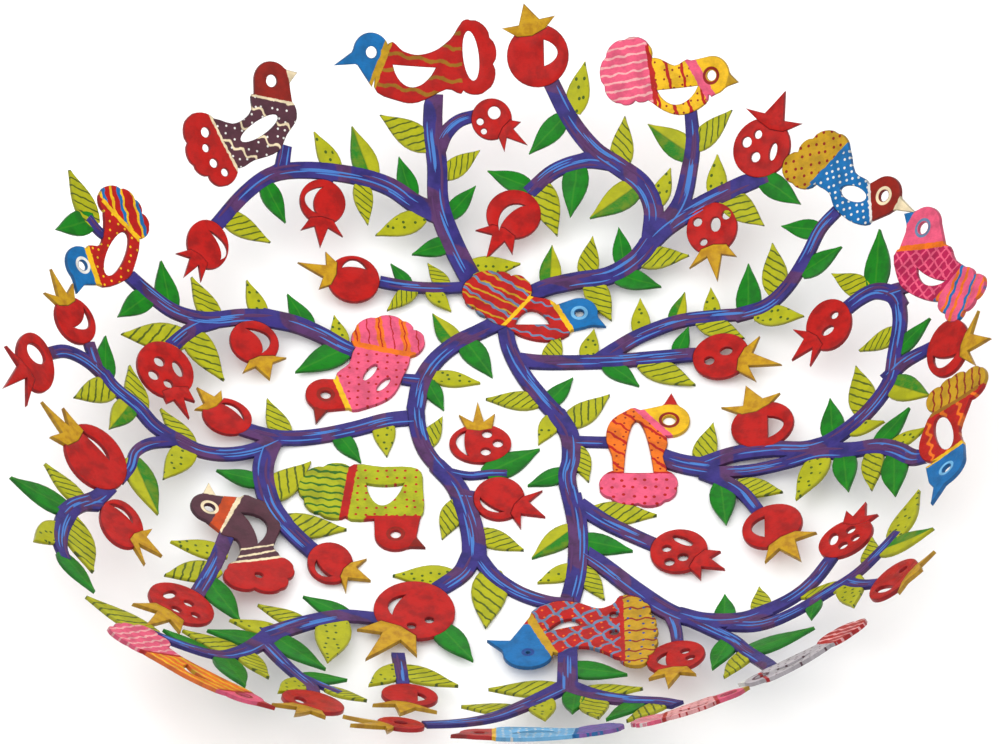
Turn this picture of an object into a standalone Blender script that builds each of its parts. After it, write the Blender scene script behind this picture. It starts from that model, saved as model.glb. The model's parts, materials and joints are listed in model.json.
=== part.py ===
"""Openwork bowl: a tree of life with birds and pomegranates, cut from thin sheet and raised into a bowl.

Every figure is drawn flat and then laid on the bowl. Flat lengths are millimetres from the centre,
with +X to the right and +Y to the far side. MM turns them into metres where a mesh is made.
"""
import math

import bpy
import numpy as np
from mathutils.geometry import delaunay_2d_cdt

MM = 0.001
BOWL_RADIUS = 180.0  # plan radius of the rim
BASE_RADIUS = 62.0  # flat disc that the bowl stands on
RIM_SLOPE = math.radians(50)  # slope of the wall where it ends
SHEET = 1.5  # thickness of the sheet
GAP = 0.3  # clearance between neighbouring figures
WALL_RADIUS = (BOWL_RADIUS - BASE_RADIUS) / math.sin(RIM_SLOPE)

FLARE = 0.364  # how much flatter the near left wall leans, as a share of the wall's curve
FLARE_START = 110.0  # where on the wall the flare starts
FLARE_SPAN = 90.0  # how far it takes to grow to its full amount

LEAF_PLUMPNESS = 0.23  # half width of a leaf against its length
LEAF_ROOT = 2.5  # how far a leaf reaches into its branch
LEAF_CUT = 0.12  # share of the leaf's curve that its root leaves out
LEAF_FULLNESS = 0.8  # below 1, the widest place is nearer to the root
LEAF_STEPS = 3  # points along each side of a leaf
ROUND_STEPS = 12  # points round a fruit or a head
HOLE_STEPS = 6  # points round an opening
CURVE_STEPS = 2  # points for each span of a curve
EDGE_LIMIT = 16.0  # longest straight edge before it is divided
CROWN_NOTCH = 1.12  # notch between crown tips, in fruit radii from the centre
CROWN_NECK = 0.5  # half width of a crown's neck, in fruit radii
BEAK_WIDTH = 0.5  # half width of a beak at the head, in head radii
NECK_REACH = 0.6  # where a crown or beak starts, in radii from the centre
SHARPEST = 0.4  # keeps a sharp corner from growing into a long spike
TINY = 1e-9  # stands in for a length of nothing in a division
MERGE = 0.02  # points nearer than this are one point
STRAIGHT = 0.07  # a point this near to a straight edge is part of it
SMALLEST = 1e-3  # area, in square millimetres, of the smallest triangle kept
SHARP_ANGLE = math.radians(35)  # edges sharper than this stay crisp when the rest is shaded smooth
# Pomegranates: centre, half sizes, crown tips, openings.
POMEGRANATES = {
    "pomegranate_01": (
        (14.5, 180), (12.5, 12), [(0, 190.5), (9, 200), (22, 195)],
        [("moon", (17, 186), (22.5, 181), (17, 176), 0)],
    ),
    "pomegranate_02": (
        (-4, 156), (8, 8), [(7.5, 155), (10, 146), (1, 143.5)],
        [("slot", (-3, 158.5), 2.5, 2.5, 0)],
    ),
    "pomegranate_03": (
        (4.5, 118.5), (10.5, 10), [(-10, 112), (-6, 100), (4, 102)],
        [("moon", (-1, 112), (1, 121), (9, 122), 0.4)],
    ),
    "pomegranate_04": (
        (103, 134.5), (12, 11.5), [(98, 151), (115.5, 154), (121, 140)],
        [("slot", (107.5, 132), 1.6, 3.5, -20)],
    ),
    "pomegranate_05": (
        (80.5, 106.5), (10, 10.5), [(71, 91.5), (81.5, 84.5), (89.5, 93.5)],
        [("slot", (82, 108), 2, 3, 0)],
    ),
    "pomegranate_06": (
        (-69, 119), (9, 9), [(-77, 106.5), (-69, 100.5), (-60.5, 106)],
        [("moon", (-69, 125), (-76, 120), (-71, 114), 0.4)],
    ),
    "pomegranate_07": (
        (-113.5, 93), (8.5, 10), [(-126, 86), (-122, 77), (-115, 77)],
        [("moon", (-114, 99), (-106, 94), (-108, 88), 0.4)],
    ),
    "pomegranate_08": (
        (-56, 88.5), (10, 10), [(-67, 99), (-77.5, 93), (-69, 83)],
        [("moon", (-60.5, 93), (-56, 97), (-51, 93), 0.2)],
    ),
    "pomegranate_09": (
        (-93, 55.5), (9.5, 9.5), [(-97, 41), (-86.5, 39.5), (-80.5, 50.5)],
        [("moon", (-97, 61), (-87.5, 59), (-90, 51), 0.4)],
    ),
    "pomegranate_10": (
        (-127.5, 34), (11.5, 12.5), [(-126, 19), (-117, 14.5), (-115, 23)],
        [("slot", (-122.5, 36), 1.9, 3.6, 25)],
    ),
    "pomegranate_11": (
        (-167, 40.5), (9.5, 10), [(-182.5, 45.5), (-180.5, 57.5), (-169.5, 56.5)],
        [("moon", (-164, 48), (-160.5, 41), (-168, 37), 0.4)],
    ),
    "pomegranate_12": (
        (-184.5, 10), (9.5, 14), [(-200, 8), (-199, -13), (-187, -14)],
        [("slot", (-184.5, 14.5), 4.6, 4.4, 0)],
    ),
    "pomegranate_13": (
        (-102.5, 19), (9.5, 8.5), [(-105, 31), (-114.5, 30), (-115, 19.5)],
        [("moon", (-105, 24.5), (-99, 24.5), (-96, 18), 0.3)],
    ),
    "pomegranate_14": (
        (-155, -21.5), (13.5, 16), [(-170, -4), (-180, -7), (-175, -22)],
        [("moon", (-161, -12), (-153, -13), (-149, -20), 0.2)],
    ),
    "pomegranate_15": (
        (-143.5, -52.5), (9, 13.5), [(-131, -49), (-127, -63), (-134, -72)],
        [("moon", (-149, -44), (-142, -43), (-139, -50), 0.3)],
    ),
    "pomegranate_16": (
        (-8, 10.5), (11.5, 9.5), [(-16, 25), (-9, 31.5), (-2.5, 25.5)],
        [("moon", (-13, 17), (-17, 11), (-12, 4), 0.3)],
    ),
    "pomegranate_17": (
        (-1, -16.5), (9.5, 10.5), [(15, -12.5), (16, -25.5), (7, -31)],
        [("moon", (-8, -16), (-5.5, -22), (1, -23), 0.3)],
    ),
    "pomegranate_18": (
        (82, 51), (10.8, 10.3), [(97, 57.5), (105, 43), (95, 37.5)],
        [("slot", (84, 53), 2.4, 1.8, 0)],
    ),
    "pomegranate_19": (
        (124.5, 55.5), (9.3, 11), [(110, 57.5), (109, 44), (116, 39.5)],
        [("slot", (124, 53), 2.6, 1.6, 25)],
    ),
    "pomegranate_20": (
        (97, 16), (12, 11), [(81.5, 27), (91, 36), (104, 30)],
        [("moon", (99, 20), (105, 15), (99, 9.5), 0)],
    ),
    "pomegranate_21": (
        (65, -43), (10.7, 11), [(80.5, -45), (82, -55), (73, -59)],
        [("slot", (66.5, -38), 1.6, 4.4, 55)],
    ),
    "pomegranate_22": (
        (100, -36), (11.5, 11.5), [(117, -45), (111, -59), (97, -55)],
        [("moon", (97, -30), (92, -35), (97, -41), 0)],
    ),
    "pomegranate_23": (
        (129, -54.5), (11, 10.5), [(129, -38), (137, -37), (142, -47)],
        [("slot", (124, -52.5), 1.9, 3.5, 0)],
    ),
    "pomegranate_24": (
        (175, 23), (10, 13), [(191, 32), (196, 15), (187.5, 6.5)],
        [("moon", (168, 23), (171, 15.5), (179, 18), 0.2)],
    ),
    "pomegranate_25": (
        (-63, -49), (8.5, 10.5), [(-49.5, -46), (-48, -57), (-57, -64)],
        [("moon", (-68, -48), (-67.5, -55), (-62, -56), 0.3)],
    ),
    "pomegranate_26": (
        (-32, -72.5), (15, 15.5), [(-53, -84.5), (-50, -103), (-31, -98)],
        [("moon", (-35, -64), (-41, -68), (-40, -75), 0.3)],
    ),
    "pomegranate_27": (
        (-120, -91), (13, 13), [(-140, -103), (-136, -119), (-121, -113)],
        [("slot", (-124.5, -87), 1.7, 4, -35)],
    ),
    "pomegranate_28": (
        (64, -105.5), (11, 11), [(54, -119), (61.5, -129), (72, -122)],
        [("moon", (61, -101), (57, -106), (61, -111), 0.2)],
    ),
    "pomegranate_29": (
        (152, -103), (11, 14), [(171, -100), (166, -111), (156, -122)],
        [("slot", (148, -107), 2.2, 6, 40)],
    ),
    "pomegranate_30": (
        (-34, -128), (10.5, 9.5), [(-48, -140), (-38, -147), (-24, -141)],
        [("moon", (-31, -125), (-28, -129), (-31, -132.5), 0)],
    ),
    "pomegranate_31": (
        (-71, -149), (12, 12.5), [(-88, -165), (-80, -178), (-67, -168)],
        [("slot", (-76, -150), 2.2, 4, 0)],
    ),
    "pomegranate_32": (
        (-38, -161), (9, 9), [(-60, -160), (-58, -176), (-44, -182)],
        [("slot", (-38, -160), 2.5, 2.5, 0)],
    ),
}
# Birds: head centre, head radius, beak tip, collar, body outline, tail outline, openings.
BIRDS = {
    "bird_far_left": (
        (-93.5, 162.5), 7.5, (-83, 167.5), [(-100, 155.5), (-84, 155.5)],
        [
            (-101, 156), (-92, 156.5), (-84, 156), (-81.5, 150), (-85, 143), (-88, 136), (-97, 131),
            (-105, 127), (-117, 142), (-108, 143), (-103, 146), (-100.5, 150),
        ],
        [
            (-116, 143), (-127, 141), (-126, 131), (-122, 123), (-109, 118), (-104, 127),
        ],
        [("slot", (-96.5, 143.5), 9.5, 2.8, 41)],
    ),
    "bird_far": (
        (-53, 179), 7.5, (-68, 172.3), [(-46.5, 183), (-52, 166)],
        [
            (-51, 166), (-46, 183), (-40, 180.5), (-34, 179.5), (-27, 181.5), (-21, 186), (-16, 191),
            (-15, 167), (-22, 167), (-33, 161.5), (-41, 161.5),
        ],
        [
            (-17, 192), (-13, 193.5), (-5, 187), (-3.5, 177), (-6, 167), (-16, 167.5),
        ],
        [("moon", (-44, 175), (-36, 167), (-26.5, 175), 0), ("slot", (-12.5, 180), 3.2, 9.5, 8)],
    ),
    "bird_far_right": (
        (85, 166), 7.5, (96, 161.5), [(77, 173), (84, 158)],
        [
            (77, 173), (83, 159), (78, 154), (70, 153), (62, 157), (54, 166), (54, 174), (62, 176),
            (70, 172),
        ],
        [
            (59, 161), (47, 160), (41, 167), (42, 178), (50, 184), (60, 181),
        ],
        [("moon", (62, 163.5), (70, 157), (79, 163), 0)],
    ),
    "bird_right_upper": (
        (153, 101), 7.8, (166, 89), [(146, 93), (147, 108)],
        [
            (146, 93), (138, 95), (131, 103), (129, 110), (124, 117), (139, 126), (141, 115),
            (147, 108),
        ],
        [
            (124, 115), (114, 118), (111, 126), (125, 133), (136, 132), (140, 125),
        ],
        [("slot", (139.5, 106.5), 6.4, 2.9, -34)],
    ),
    "bird_right_rim": (
        (169, 81), 8.5, (161, 90.5), [(157, 77), (178, 70)],
        [
            (156, 77), (178, 70), (182, 61), (188, 52), (180, 45), (170, 48), (160, 56), (155, 64),
        ],
        [
            (172, 46), (186, 55), (196, 43), (190, 38), (178, 34),
        ],
        [("moon", (164, 66), (167, 57), (177, 54), 0.3)],
    ),
    "bird_right_lower": (
        (173, -41), 8.7, (166, -58), [(163, -33), (181, -31)],
        [
            (165, -31), (180, -34), (179, -22), (184, -10), (186, -4), (168, -4), (162, -12),
            (160, -22),
        ],
        [
            (166, -4), (165, 5), (176, 7.5), (190, 4), (192, -6), (184, -9),
        ],
        [("slot", (171.5, -19), 3.9, 11, 14)],
    ),
    "bird_left_rim": (
        (-166, 66), 7.8, (-167, 53), [(-165, 74), (-158, 61)],
        [
            (-158, 61), (-165, 74), (-159, 78), (-158, 86), (-158, 94), (-143, 89), (-143, 75),
            (-147, 67),
        ],
        [
            (-159, 92), (-162, 99), (-153, 104), (-146, 102), (-138.5, 93), (-142, 87),
        ],
        [("slot", (-151.5, 77), 3.8, 11, -18)],
    ),
    "bird_upper_left": (
        (-65.5, 34.5), 7.6, (-69, 20.5), [(-62, 42.5), (-57, 28)],
        [
            (-62, 43), (-57, 50), (-53, 59), (-35, 56), (-37, 43), (-41, 34), (-49, 29), (-57, 28),
        ],
        [
            (-54, 57), (-55, 66), (-47, 72), (-37, 71), (-29, 63), (-34, 54),
        ],
        [("slot", (-49, 46), 1.5, 4.6, -30), ("slot", (-44, 40), 1.4, 4, -35)],
    ),
    "bird_hub": (
        (29, 75), 7, (39, 68.5), [(20, 79), (26, 67)],
        [
            (20, 80), (26, 67), (18, 62), (8, 64), (1, 70), (-2, 78), (4, 85), (12, 83),
        ],
        [
            (4, 70), (-6, 74), (-14, 82), (-12, 91), (-2, 94), (9, 91), (10, 82),
        ],
        [("moon", (5, 70), (11, 77), (18, 70), 0)],
    ),
    "bird_middle": (
        (62, 22), 7.8, (63, 35.5), [(51, 27), (62, 14)],
        [
            (61, 13.5), (51, 27.5), (45, 26), (40, 21), (38.5, 13), (40.5, 5), (43, -5), (60, -5),
            (59.5, 4),
        ],
        [
            (41, -3), (36, -11), (40, -16), (50, -19), (60, -17.5), (64.5, -11), (61, -3),
        ],
        [("moon", (45, -4), (50, 22), (56, -4), 0)],
    ),
    "bird_left_lower": (
        (-108.5, -28.5), 7.2, (-109, -15.5), [(-97, -20), (-104.5, -40)],
        [
            (-97, -20), (-104.5, -40), (-98, -42.5), (-96.5, -48.5), (-97.5, -56), (-82, -49.5),
            (-84, -44), (-83, -39), (-81.5, -31), (-86, -22), (-91, -19.5),
        ],
        [
            (-97.5, -55), (-101.5, -60), (-101, -69), (-91, -68.5), (-81, -66), (-76.5, -54),
            (-81.5, -48.5),
        ],
        [("moon", (-96.5, -28), (-87, -31), (-90, -43), 0.2)],
    ),
    "bird_lower_left": (
        (-39, -34), 7.8, (-28, -40.5), [(-47, -26), (-30, -26)],
        [
            (-57, -1.5), (-44, -1), (-31, -2), (-29, -12), (-30, -26), (-44, -26.5), (-58, -25),
        ],
        [
            (-56, -1), (-66, -1), (-73, -6), (-73, -17), (-67, -24), (-57, -25),
        ],
        [("moon", (-50, -9), (-44, -20), (-36, -9), 0.1)],
    ),
    "bird_bottom": (
        (9.5, -95), 9.2, (-5.5, -87.5), [(10, -75), (18.5, -95)],
        [
            (10, -75), (18.5, -95), (26, -92.5), (32, -93), (37, -96), (45, -100), (45, -66.5),
            (40, -69.5), (35, -71), (27, -67.5), (18, -67.5),
        ],
        [
            (43, -65), (52, -69), (56, -83), (56, -96), (51, -108), (43, -101),
        ],
        [("moon", (16, -83.5), (23.5, -76.5), (29, -80), 0.1)],
    ),
    "bird_near_left": (
        (-99, -164), 8, (-87, -171), [(-107, -165), (-95, -156)],
        [
            (-107, -168), (-94, -157), (-107, -146), (-121, -137), (-130, -130), (-140, -142),
            (-130, -151), (-119, -161),
        ],
        [
            (-126, -126), (-135, -119), (-146, -125), (-152, -137), (-144, -144), (-136, -144),
        ],
        [("moon", (-120, -143), (-121, -152), (-112, -156), 0.2)],
    ),
    "bird_near_middle": (
        (87, -160), 6, (95, -157), [(83, -167), (81, -155)],
        [
            (83, -167.5), (81, -154.5), (73, -156), (65.5, -160), (60, -166), (63.5, -176),
            (72.5, -175.5),
        ],
        [
            (61.5, -165), (54, -163), (50, -167.5), (51, -175), (55.5, -180), (63.5, -177.5),
        ],
        [("moon", (67.5, -166), (73.5, -171.5), (79.5, -165), 0.2)],
    ),
    "bird_near_right": (
        (99, -147.5), 6.5, (89.5, -146), [(102, -155), (98, -142)],
        [
            (101.5, -156), (98, -140.5), (106.5, -136.5), (116, -134), (124, -134), (129.5, -140.5),
            (120.5, -150), (110, -155.5),
        ],
        [
            (121, -131.5), (127, -125), (137.5, -128), (142.5, -134.5), (137.5, -143), (128, -143.5),
        ],
        [("moon", (105, -145.5), (112.5, -149.5), (119, -141), 0.2)],
    ),
    "bird_near": (
        (-8.5, -169), 7.5, (-19.5, -175.5), [(-3, -177.5), (-3, -160.5)],
        [
            (-4, -177.5), (-2.5, -159.5), (9.5, -159), (21, -163), (30.5, -169), (29, -182.5),
            (18.5, -184), (5, -182.5),
        ],
        [
            (27.5, -168), (36, -163.5), (43.5, -166.5), (45.5, -176), (39.5, -182.5), (28, -183.5),
        ],
        [("moon", (3.5, -170.5), (12.5, -165), (20.5, -171.5), 0.2)],
    ),
}
# Limbs: branches are the width at each end and the route; leaves are base and tip.
LIMBS = {
    "limb_top": {
        "branches": [
            (7.5, 8.5, [(-27, 165), (-27, 152), (-25, 138), (-24, 122), (-18, 105), (-10, 88)]),
            (6.5, 4.5, [(-25, 143), (-22, 150), (-17, 155), (-10, 157.5)]),
            (8, 5.5, [
                (-24, 118), (-33, 122), (-43, 128), (-56, 131), (-74, 131), (-89, 127), (-100, 117),
                (-111, 101),
            ]),
            (6, 5, [(-86, 129), (-85, 139)]),
            (5, 6, [(-68, 131), (-68, 125)]),
            (4.5, 5, [(-10, 88), (-22, 87), (-34, 87), (-46, 88.5)]),
        ],
        "leaves": [
            ((-30, 146), (-48, 155.5)), ((-65, 133), (-74, 146)), ((-51, 132), (-59, 150)),
            ((-35, 126), (-40, 140)), ((-20.5, 135), (-8.5, 144)), ((-19, 119), (-10, 130)),
            ((-54, 127), (-51, 112)), ((-32, 116), (-48, 108)), ((-91, 121), (-83, 108.5)),
            ((-21, 106), (-34, 101)), ((-106, 106), (-88.5, 99.5)), ((-36, 89), (-42, 96.5)),
            ((-22, 89), (-28, 97.5)), ((-34, 85.5), (-43, 76)), ((-26, 85), (-19, 76.5)),
            ((-11, 96), (7, 98)),
        ],
    },
    "limb_upper_right": {
        "branches": [
            (7, 8, [(8, 83), (17, 87.5), (28, 90), (40, 91.5), (50, 97), (57, 105)]),
            (8, 7, [(55, 103), (63, 110), (75, 116), (90, 121), (104, 124)]),
            (8, 5, [(62, 110), (69, 119), (73, 132), (75, 142), (75, 154)]),
            (8, 6.5, [(57, 106), (58, 118), (54, 128), (45, 136), (36, 143), (27, 155), (19, 171)]),
            (6, 6, [(44, 137), (32, 139), (20, 135.5), (10, 127)]),
        ],
        "leaves": [
            ((29, 160), (33.5, 177)), ((23, 155), (10.5, 142.5)), ((9, 130), (-5.5, 136)),
            ((46, 137), (48.5, 155)), ((29, 136), (26, 117)), ((51, 127), (33.5, 116)),
            ((15, 129), (21, 109.5)), ((60, 121), (65.5, 133)), ((73, 138), (57.5, 151)),
            ((77, 141), (92, 151.5)), ((83, 121), (84.5, 135.5)), ((87, 118), (101, 104)),
            ((46, 97), (44.5, 111.5)), ((32, 93), (34.5, 108.5)), ((18, 90), (19, 105.5)),
            ((103, 122), (116.5, 109)), ((44, 91.5), (60, 85)), ((34, 88), (41, 71.5)),
            ((53, 98), (71, 97)),
        ],
    },
    "limb_left_trunk": {
        "branches": [
            (7, 7, [(0, 72), (-8, 67), (-17, 61), (-25, 52), (-30, 41), (-32, 28)]),
            (6.5, 6, [(-32, 30), (-31, 18), (-28, 7), (-22, -3)]),
            (7, 9.5, [(-24, 0), (-17, -10), (-13, -22), (-10.5, -35), (-10, -48)]),
            (8, 7, [(-11, -44), (-15, -53), (-25, -62)]),
            (6, 6, [(-9, -44), (-3, -54), (6, -62), (17, -67), (26, -68)]),
            (5, 6, [(-37, 43), (-30, 42)]),
            (3.5, 3.5, [(-20, -3), (-12, -5), (-4, -4), (2, -4)]),
            (4, 4, [(-16, -14), (-8, -15)]),
        ],
        "leaves": [
            ((-18, 62), (-26, 75)), ((-13, 61), (-3.5, 44)), ((-23, 44), (-8, 41)),
            ((-27, 40), (-21.5, 27.5)), ((-28, 11), (-22, 24)), ((-17, -20), (-22, -36)),
            ((-20, -54), (-40, -54)), ((-4, -54), (-6, -80)), ((-7, -34), (8, -41.5)),
            ((-4, -3), (14, 8)),
        ],
    },
    "limb_right_trunk": {
        "branches": [
            (6, 7, [(1, 70), (3, 58), (8, 45), (15, 33), (22, 23)]),
            (7.5, 6.5, [(20, 26), (25, 15), (25.5, 3), (24, -6), (26, -20)]),
            (7.5, 7.5, [(25.5, -14), (27.5, -27), (28, -40), (27, -55), (24, -70)]),
            (7, 6, [(4, 53), (15, 51.5), (28, 51.5), (42, 52), (56, 53), (73, 53.5)]),
            (7, 5, [(36, 52), (43, 58), (52, 64), (66, 69), (80, 69.5), (92, 68.5)]),
            (6, 5, [(88, 68.5), (100, 70.5), (109, 77), (117, 87), (124, 97), (133, 103)]),
            (5, 5, [(26, 12), (40, 11.5)]),
            (7, 6, [(28, -19), (37, -27), (46, -33), (56, -39)]),
        ],
        "leaves": [
            ((12, 32), (-6, 33)), ((52, 66), (52, 80.5)), ((65, 70), (69, 81.5)), ((79, 70), (79, 82)),
            ((93, 69), (94, 89.5)), ((18, 53), (21.5, 66)), ((32, 55), (34.5, 67.5)),
            ((66, 56), (70, 66)), ((76, 67.5), (91, 58)), ((40, 50), (51, 39.5)), ((54, 50), (72, 39)),
            ((18, 32), (26.5, 43.5)), ((26, 22), (40, 35)), ((19, 23), (13.5, 10.5)),
            ((28, 7), (32, -8)), ((98, 67), (114.5, 62.5)), ((104, 77), (104, 96)),
            ((117, 81.5), (132, 87)), ((122, 97), (108, 102)), ((22, -4), (9.5, -10)),
            ((25, -32), (11, -45.5)), ((36, -23), (57, -24.5)), ((30, -37), (48, -42)),
            ((25, -51), (13, -57.5)), ((30, -52), (37.5, -66)),
        ],
    },
    "limb_far_right": {
        "branches": [
            (8, 9, [(57, 5), (66, 1), (77, -2)]),
            (7, 7, [(74, 0), (86, 4), (100, 4), (112, 1), (121, 1)]),
            (5, 6, [(78, -4), (92, -5), (106, -4), (118, -3), (128, -6)]),
            (6, 5, [(74, -4), (82, -9), (89, -16), (95, -27)]),
            (7, 6, [(118, 0), (128, 4), (139, 11), (148, 21), (151, 33), (154, 46), (154, 55)]),
            (7, 6, [(155, 52), (152, 59), (145, 63.5), (138, 63), (131, 60)]),
            (7, 5, [(146, 22), (155, 27), (168, 28)]),
            (6, 5, [(149, 61), (160, 60)]),
            (7, 7, [(120, -2), (131, -6), (142, -9), (150, -15), (157, -23), (164, -26)]),
        ],
        "leaves": [
            ((74, 3), (78.5, 20)), ((81, -12), (82.5, -31)), ((89, -12), (104, -18.5)),
            ((140, 66), (127, 77)), ((145, 66), (149, 88.5)), ((151, 42), (136, 40)),
            ((153, 34), (167.5, 41.5)), ((137, 12), (134.5, 33.5)), ((124, 4), (123.5, 22)),
            ((149, 19), (165, 5.5)), ((132, 4), (145, 2.5)), ((143, -7), (156, 4)),
            ((119, -6), (109, -24)), ((128, -8), (129.5, -27)), ((140, -12), (139, -31)),
            ((149, -18), (149, -40)), ((150, -11), (163, -10.5)),
        ],
    },
    "limb_lower_right": {
        "branches": [
            (7, 8, [(28, -41), (38, -50), (50, -63), (60, -74), (67, -80)]),
            (8, 9, [(64, -77), (74, -83), (88, -87), (100, -85)]),
            (8, 6, [(96, -86), (108, -81), (116, -74), (123, -63)]),
            (5, 4.5, [(61, -75), (63.5, -85), (64.5, -96)]),
            (5, 6, [(66, -79), (76, -89), (85, -100), (90, -110), (96, -122), (101, -134), (104, -146)]),
            (7, 5, [(84, -89), (96, -94), (108, -92), (121, -86), (134, -80), (144, -71), (151, -64)]),
            (5, 5, [(129, -82), (136, -90), (145, -97)]),
        ],
        "leaves": [
            ((82, -85), (82, -69.5)), ((96, -84), (95, -69)), ((150, -66), (160, -44)),
            ((146, -72), (168, -77)), ((139, -75), (140, -60)), ((126, -84), (109, -82)),
            ((117, -89), (116, -102)), ((131, -83), (134, -107)), ((92, -112), (118, -111)),
            ((84, -100), (78, -120)), ((91, -113), (83, -131)),
        ],
    },
    "limb_left_middle": {
        "branches": [
            (7, 6.5, [(-29, 24), (-42, 22.5), (-55, 18), (-70, 14), (-84, 12.5), (-98, 15)]),
            (6, 6, [(-82, 12), (-92, 5), (-102, 1), (-112, 0), (-122, 3)]),
            (6.5, 6, [(-118, 1.5), (-130, 6), (-138, 13), (-148, 18), (-153, 23)]),
            (6, 5, [(-150, 20.5), (-160, 25), (-170, 24.5), (-179, 18)]),
            (5, 5, [(-155, 23), (-160, 34)]),
            (5, 3.5, [(-122, 2), (-132, -3), (-138, -10), (-140, -19), (-144, -28)]),
            (8, 8, [(-85, 12), (-88, 0), (-88, -10), (-85, -22), (-80, -31)]),
            (7, 7, [(-82, -28), (-75, -37), (-67, -46)]),
        ],
        "leaves": [
            ((-152, 22), (-153, 40)), ((-137, 13), (-142, 31)), ((-117, 3), (-128.5, 15.5)),
            ((-149, 18), (-165, 4.5)), ((-141, 13), (-149, -3)), ((-81, 14), (-87.5, 30.5)),
            ((-44, 21), (-42.5, 4.5)), ((-60, 14), (-52, 1.5)), ((-117, 0), (-126.5, -19)),
            ((-91, -10), (-106, -8)), ((-138, -16), (-128.5, -39)), ((-86, -16), (-70.5, 1.5)),
            ((-80, -30), (-57, -31.5)),
        ],
    },
    "limb_upper_left": {
        "branches": [
            (6, 7, [(-146, 71), (-136, 66), (-125, 61.5), (-112, 61.5), (-98, 66), (-86, 68)]),
            (8, 6, [(-90, 67.5), (-78, 66.5), (-68, 63), (-60, 58.5), (-51, 54)]),
            (6, 6, [(-108, 62), (-117, 56), (-126, 45)]),
            (6, 6, [(-94, 66), (-93, 62)]),
        ],
        "leaves": [
            ((-127, 63), (-132, 81)), ((-136, 65), (-148, 51)), ((-109, 63), (-119, 78)),
            ((-121, 51), (-146, 44)), ((-118, 54), (-104, 36)), ((-91, 69), (-97, 82)),
            ((-73, 66), (-81, 79)), ((-60, 60), (-63, 72)), ((-59, 57), (-77, 44.5)),
        ],
    },
    "limb_rim_left": {
        "branches": [
            (6, 8, [(-148, -33), (-154, -43), (-163, -53), (-168, -62)]),
            (8, 5, [(-166, -58), (-169, -70), (-170, -82), (-168, -91)]),
            (6, 6, [(-160, -50), (-151, -45)]),
        ],
        "leaves": [
            ((-161, -48), (-177, -38)), ((-168, -57), (-193, -58)), ((-170, -72), (-182, -90)),
            ((-165, -63), (-156, -91)), ((-168, -90), (-156, -106)),
        ],
    },
    "limb_lower_left": {
        "branches": [
            (6, 8, [(-44, -77), (-57, -77), (-67, -81), (-77, -88), (-87, -97)]),
            (8, 4.5, [(-84, -94), (-90, -104), (-97, -114), (-106, -122), (-120, -123), (-134, -121.5)]),
            (6, 5, [(-88, -102), (-82, -113), (-76, -123), (-71, -131), (-70, -140)]),
            (4, 3.5, [(-74, -124), (-66, -129), (-60, -133)]),
        ],
        "leaves": [
            ((-58, -76), (-73, -68.5)), ((-74, -84), (-90, -78)), ((-83, -93), (-101, -92)),
            ((-61, -80), (-64, -108)), ((-84, -97), (-65, -114)), ((-89, -102), (-110, -104)),
            ((-98, -115), (-120, -110)), ((-112, -122), (-128, -115)), ((-133, -121), (-160, -113)),
            ((-96, -114), (-87, -131)), ((-104, -123), (-97, -147)), ((-74, -128), (-84, -144)),
            ((-72, -123), (-57, -120)), ((-63, -131), (-50, -136)),
        ],
    },
    "limb_bottom": {
        "branches": [
            (7, 8, [(24, -88), (24, -100), (24, -112), (24, -122)]),
            (8, 6, [(24, -117), (16, -125), (7, -134), (-3, -144), (-14, -151), (-29, -157)]),
            (8, 6, [(24, -118), (34, -127), (46, -135), (58, -142), (66, -151)]),
        ],
        "leaves": [
            ((26, -105), (46, -113)), ((19, -119), (-5, -119)), ((31, -123), (52, -126)),
            ((14, -127), (16, -148)), ((27, -123), (26, -142)), ((33, -128), (36, -151)),
            ((51, -138), (39, -155)), ((60, -144), (47, -162)), ((4, -136), (-15, -134)),
        ],
    },
}
# Short twigs that only one figure holds.
TWIGS = {
    "bird_left_rim": {
        "branches": [
            (4, 4, [(-153, 82), (-160, 83.5), (-166, 87)]),
        ],
        "leaves": [
            ((-164, 87), (-178, 102)), ((-165, 86), (-180, 75.5)),
        ],
    },
    "pomegranate_27": {
        "branches": [
            (6, 6, [(-101, -38), (-104, -50), (-108, -64), (-114, -82)]),
        ],
        "leaves": [
            ((-104, -51), (-123.5, -52.5)), ((-107, -62), (-126, -74)), ((-109, -70), (-97, -91)),
        ],
    },
    "pomegranate_30": {
        "branches": [
            (5, 5, [(-38, -97), (-37, -108), (-36, -122)]),
        ],
        "leaves": [
            ((-38, -107), (-49, -122)), ((-36, -108), (-16, -117)),
        ],
    },
    "pomegranate_26": {
        "branches": [
            (4, 4, [(-28, -78), (-25, -82)]),
        ],
        "leaves": [
            ((-22, -81), (-10.5, -99.5)),
        ],
    },
}
PAINT_ROUGHNESS = 0.45
BRANCH_VIOLET = (0.10, 0.07, 0.22)
FRUIT_RED = (0.60, 0.02, 0.02)
BIRD_PAINT = {
    "bird_far_left": (0.16, 0.06, 0.16),
    "bird_far": (0.6, 0.03, 0.03),
    "bird_far_right": (0.8, 0.55, 0.1),
    "bird_right_upper": (0.1, 0.25, 0.6),
    "bird_right_rim": (0.45, 0.05, 0.25),
    "bird_right_lower": (0.6, 0.05, 0.03),
    "bird_left_rim": (0.55, 0.03, 0.04),
    "bird_upper_left": (0.75, 0.25, 0.35),
    "bird_hub": (0.55, 0.06, 0.1),
    "bird_middle": (0.85, 0.35, 0.06),
    "bird_left_lower": (0.2, 0.06, 0.2),
    "bird_lower_left": (0.55, 0.55, 0.1),
    "bird_bottom": (0.6, 0.04, 0.04),
    "bird_near_left": (0.8, 0.35, 0.08),
    "bird_near_middle": (0.75, 0.2, 0.35),
    "bird_near_right": (0.35, 0.33, 0.4),
    "bird_near": (0.25, 0.5, 0.75),
}


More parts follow.
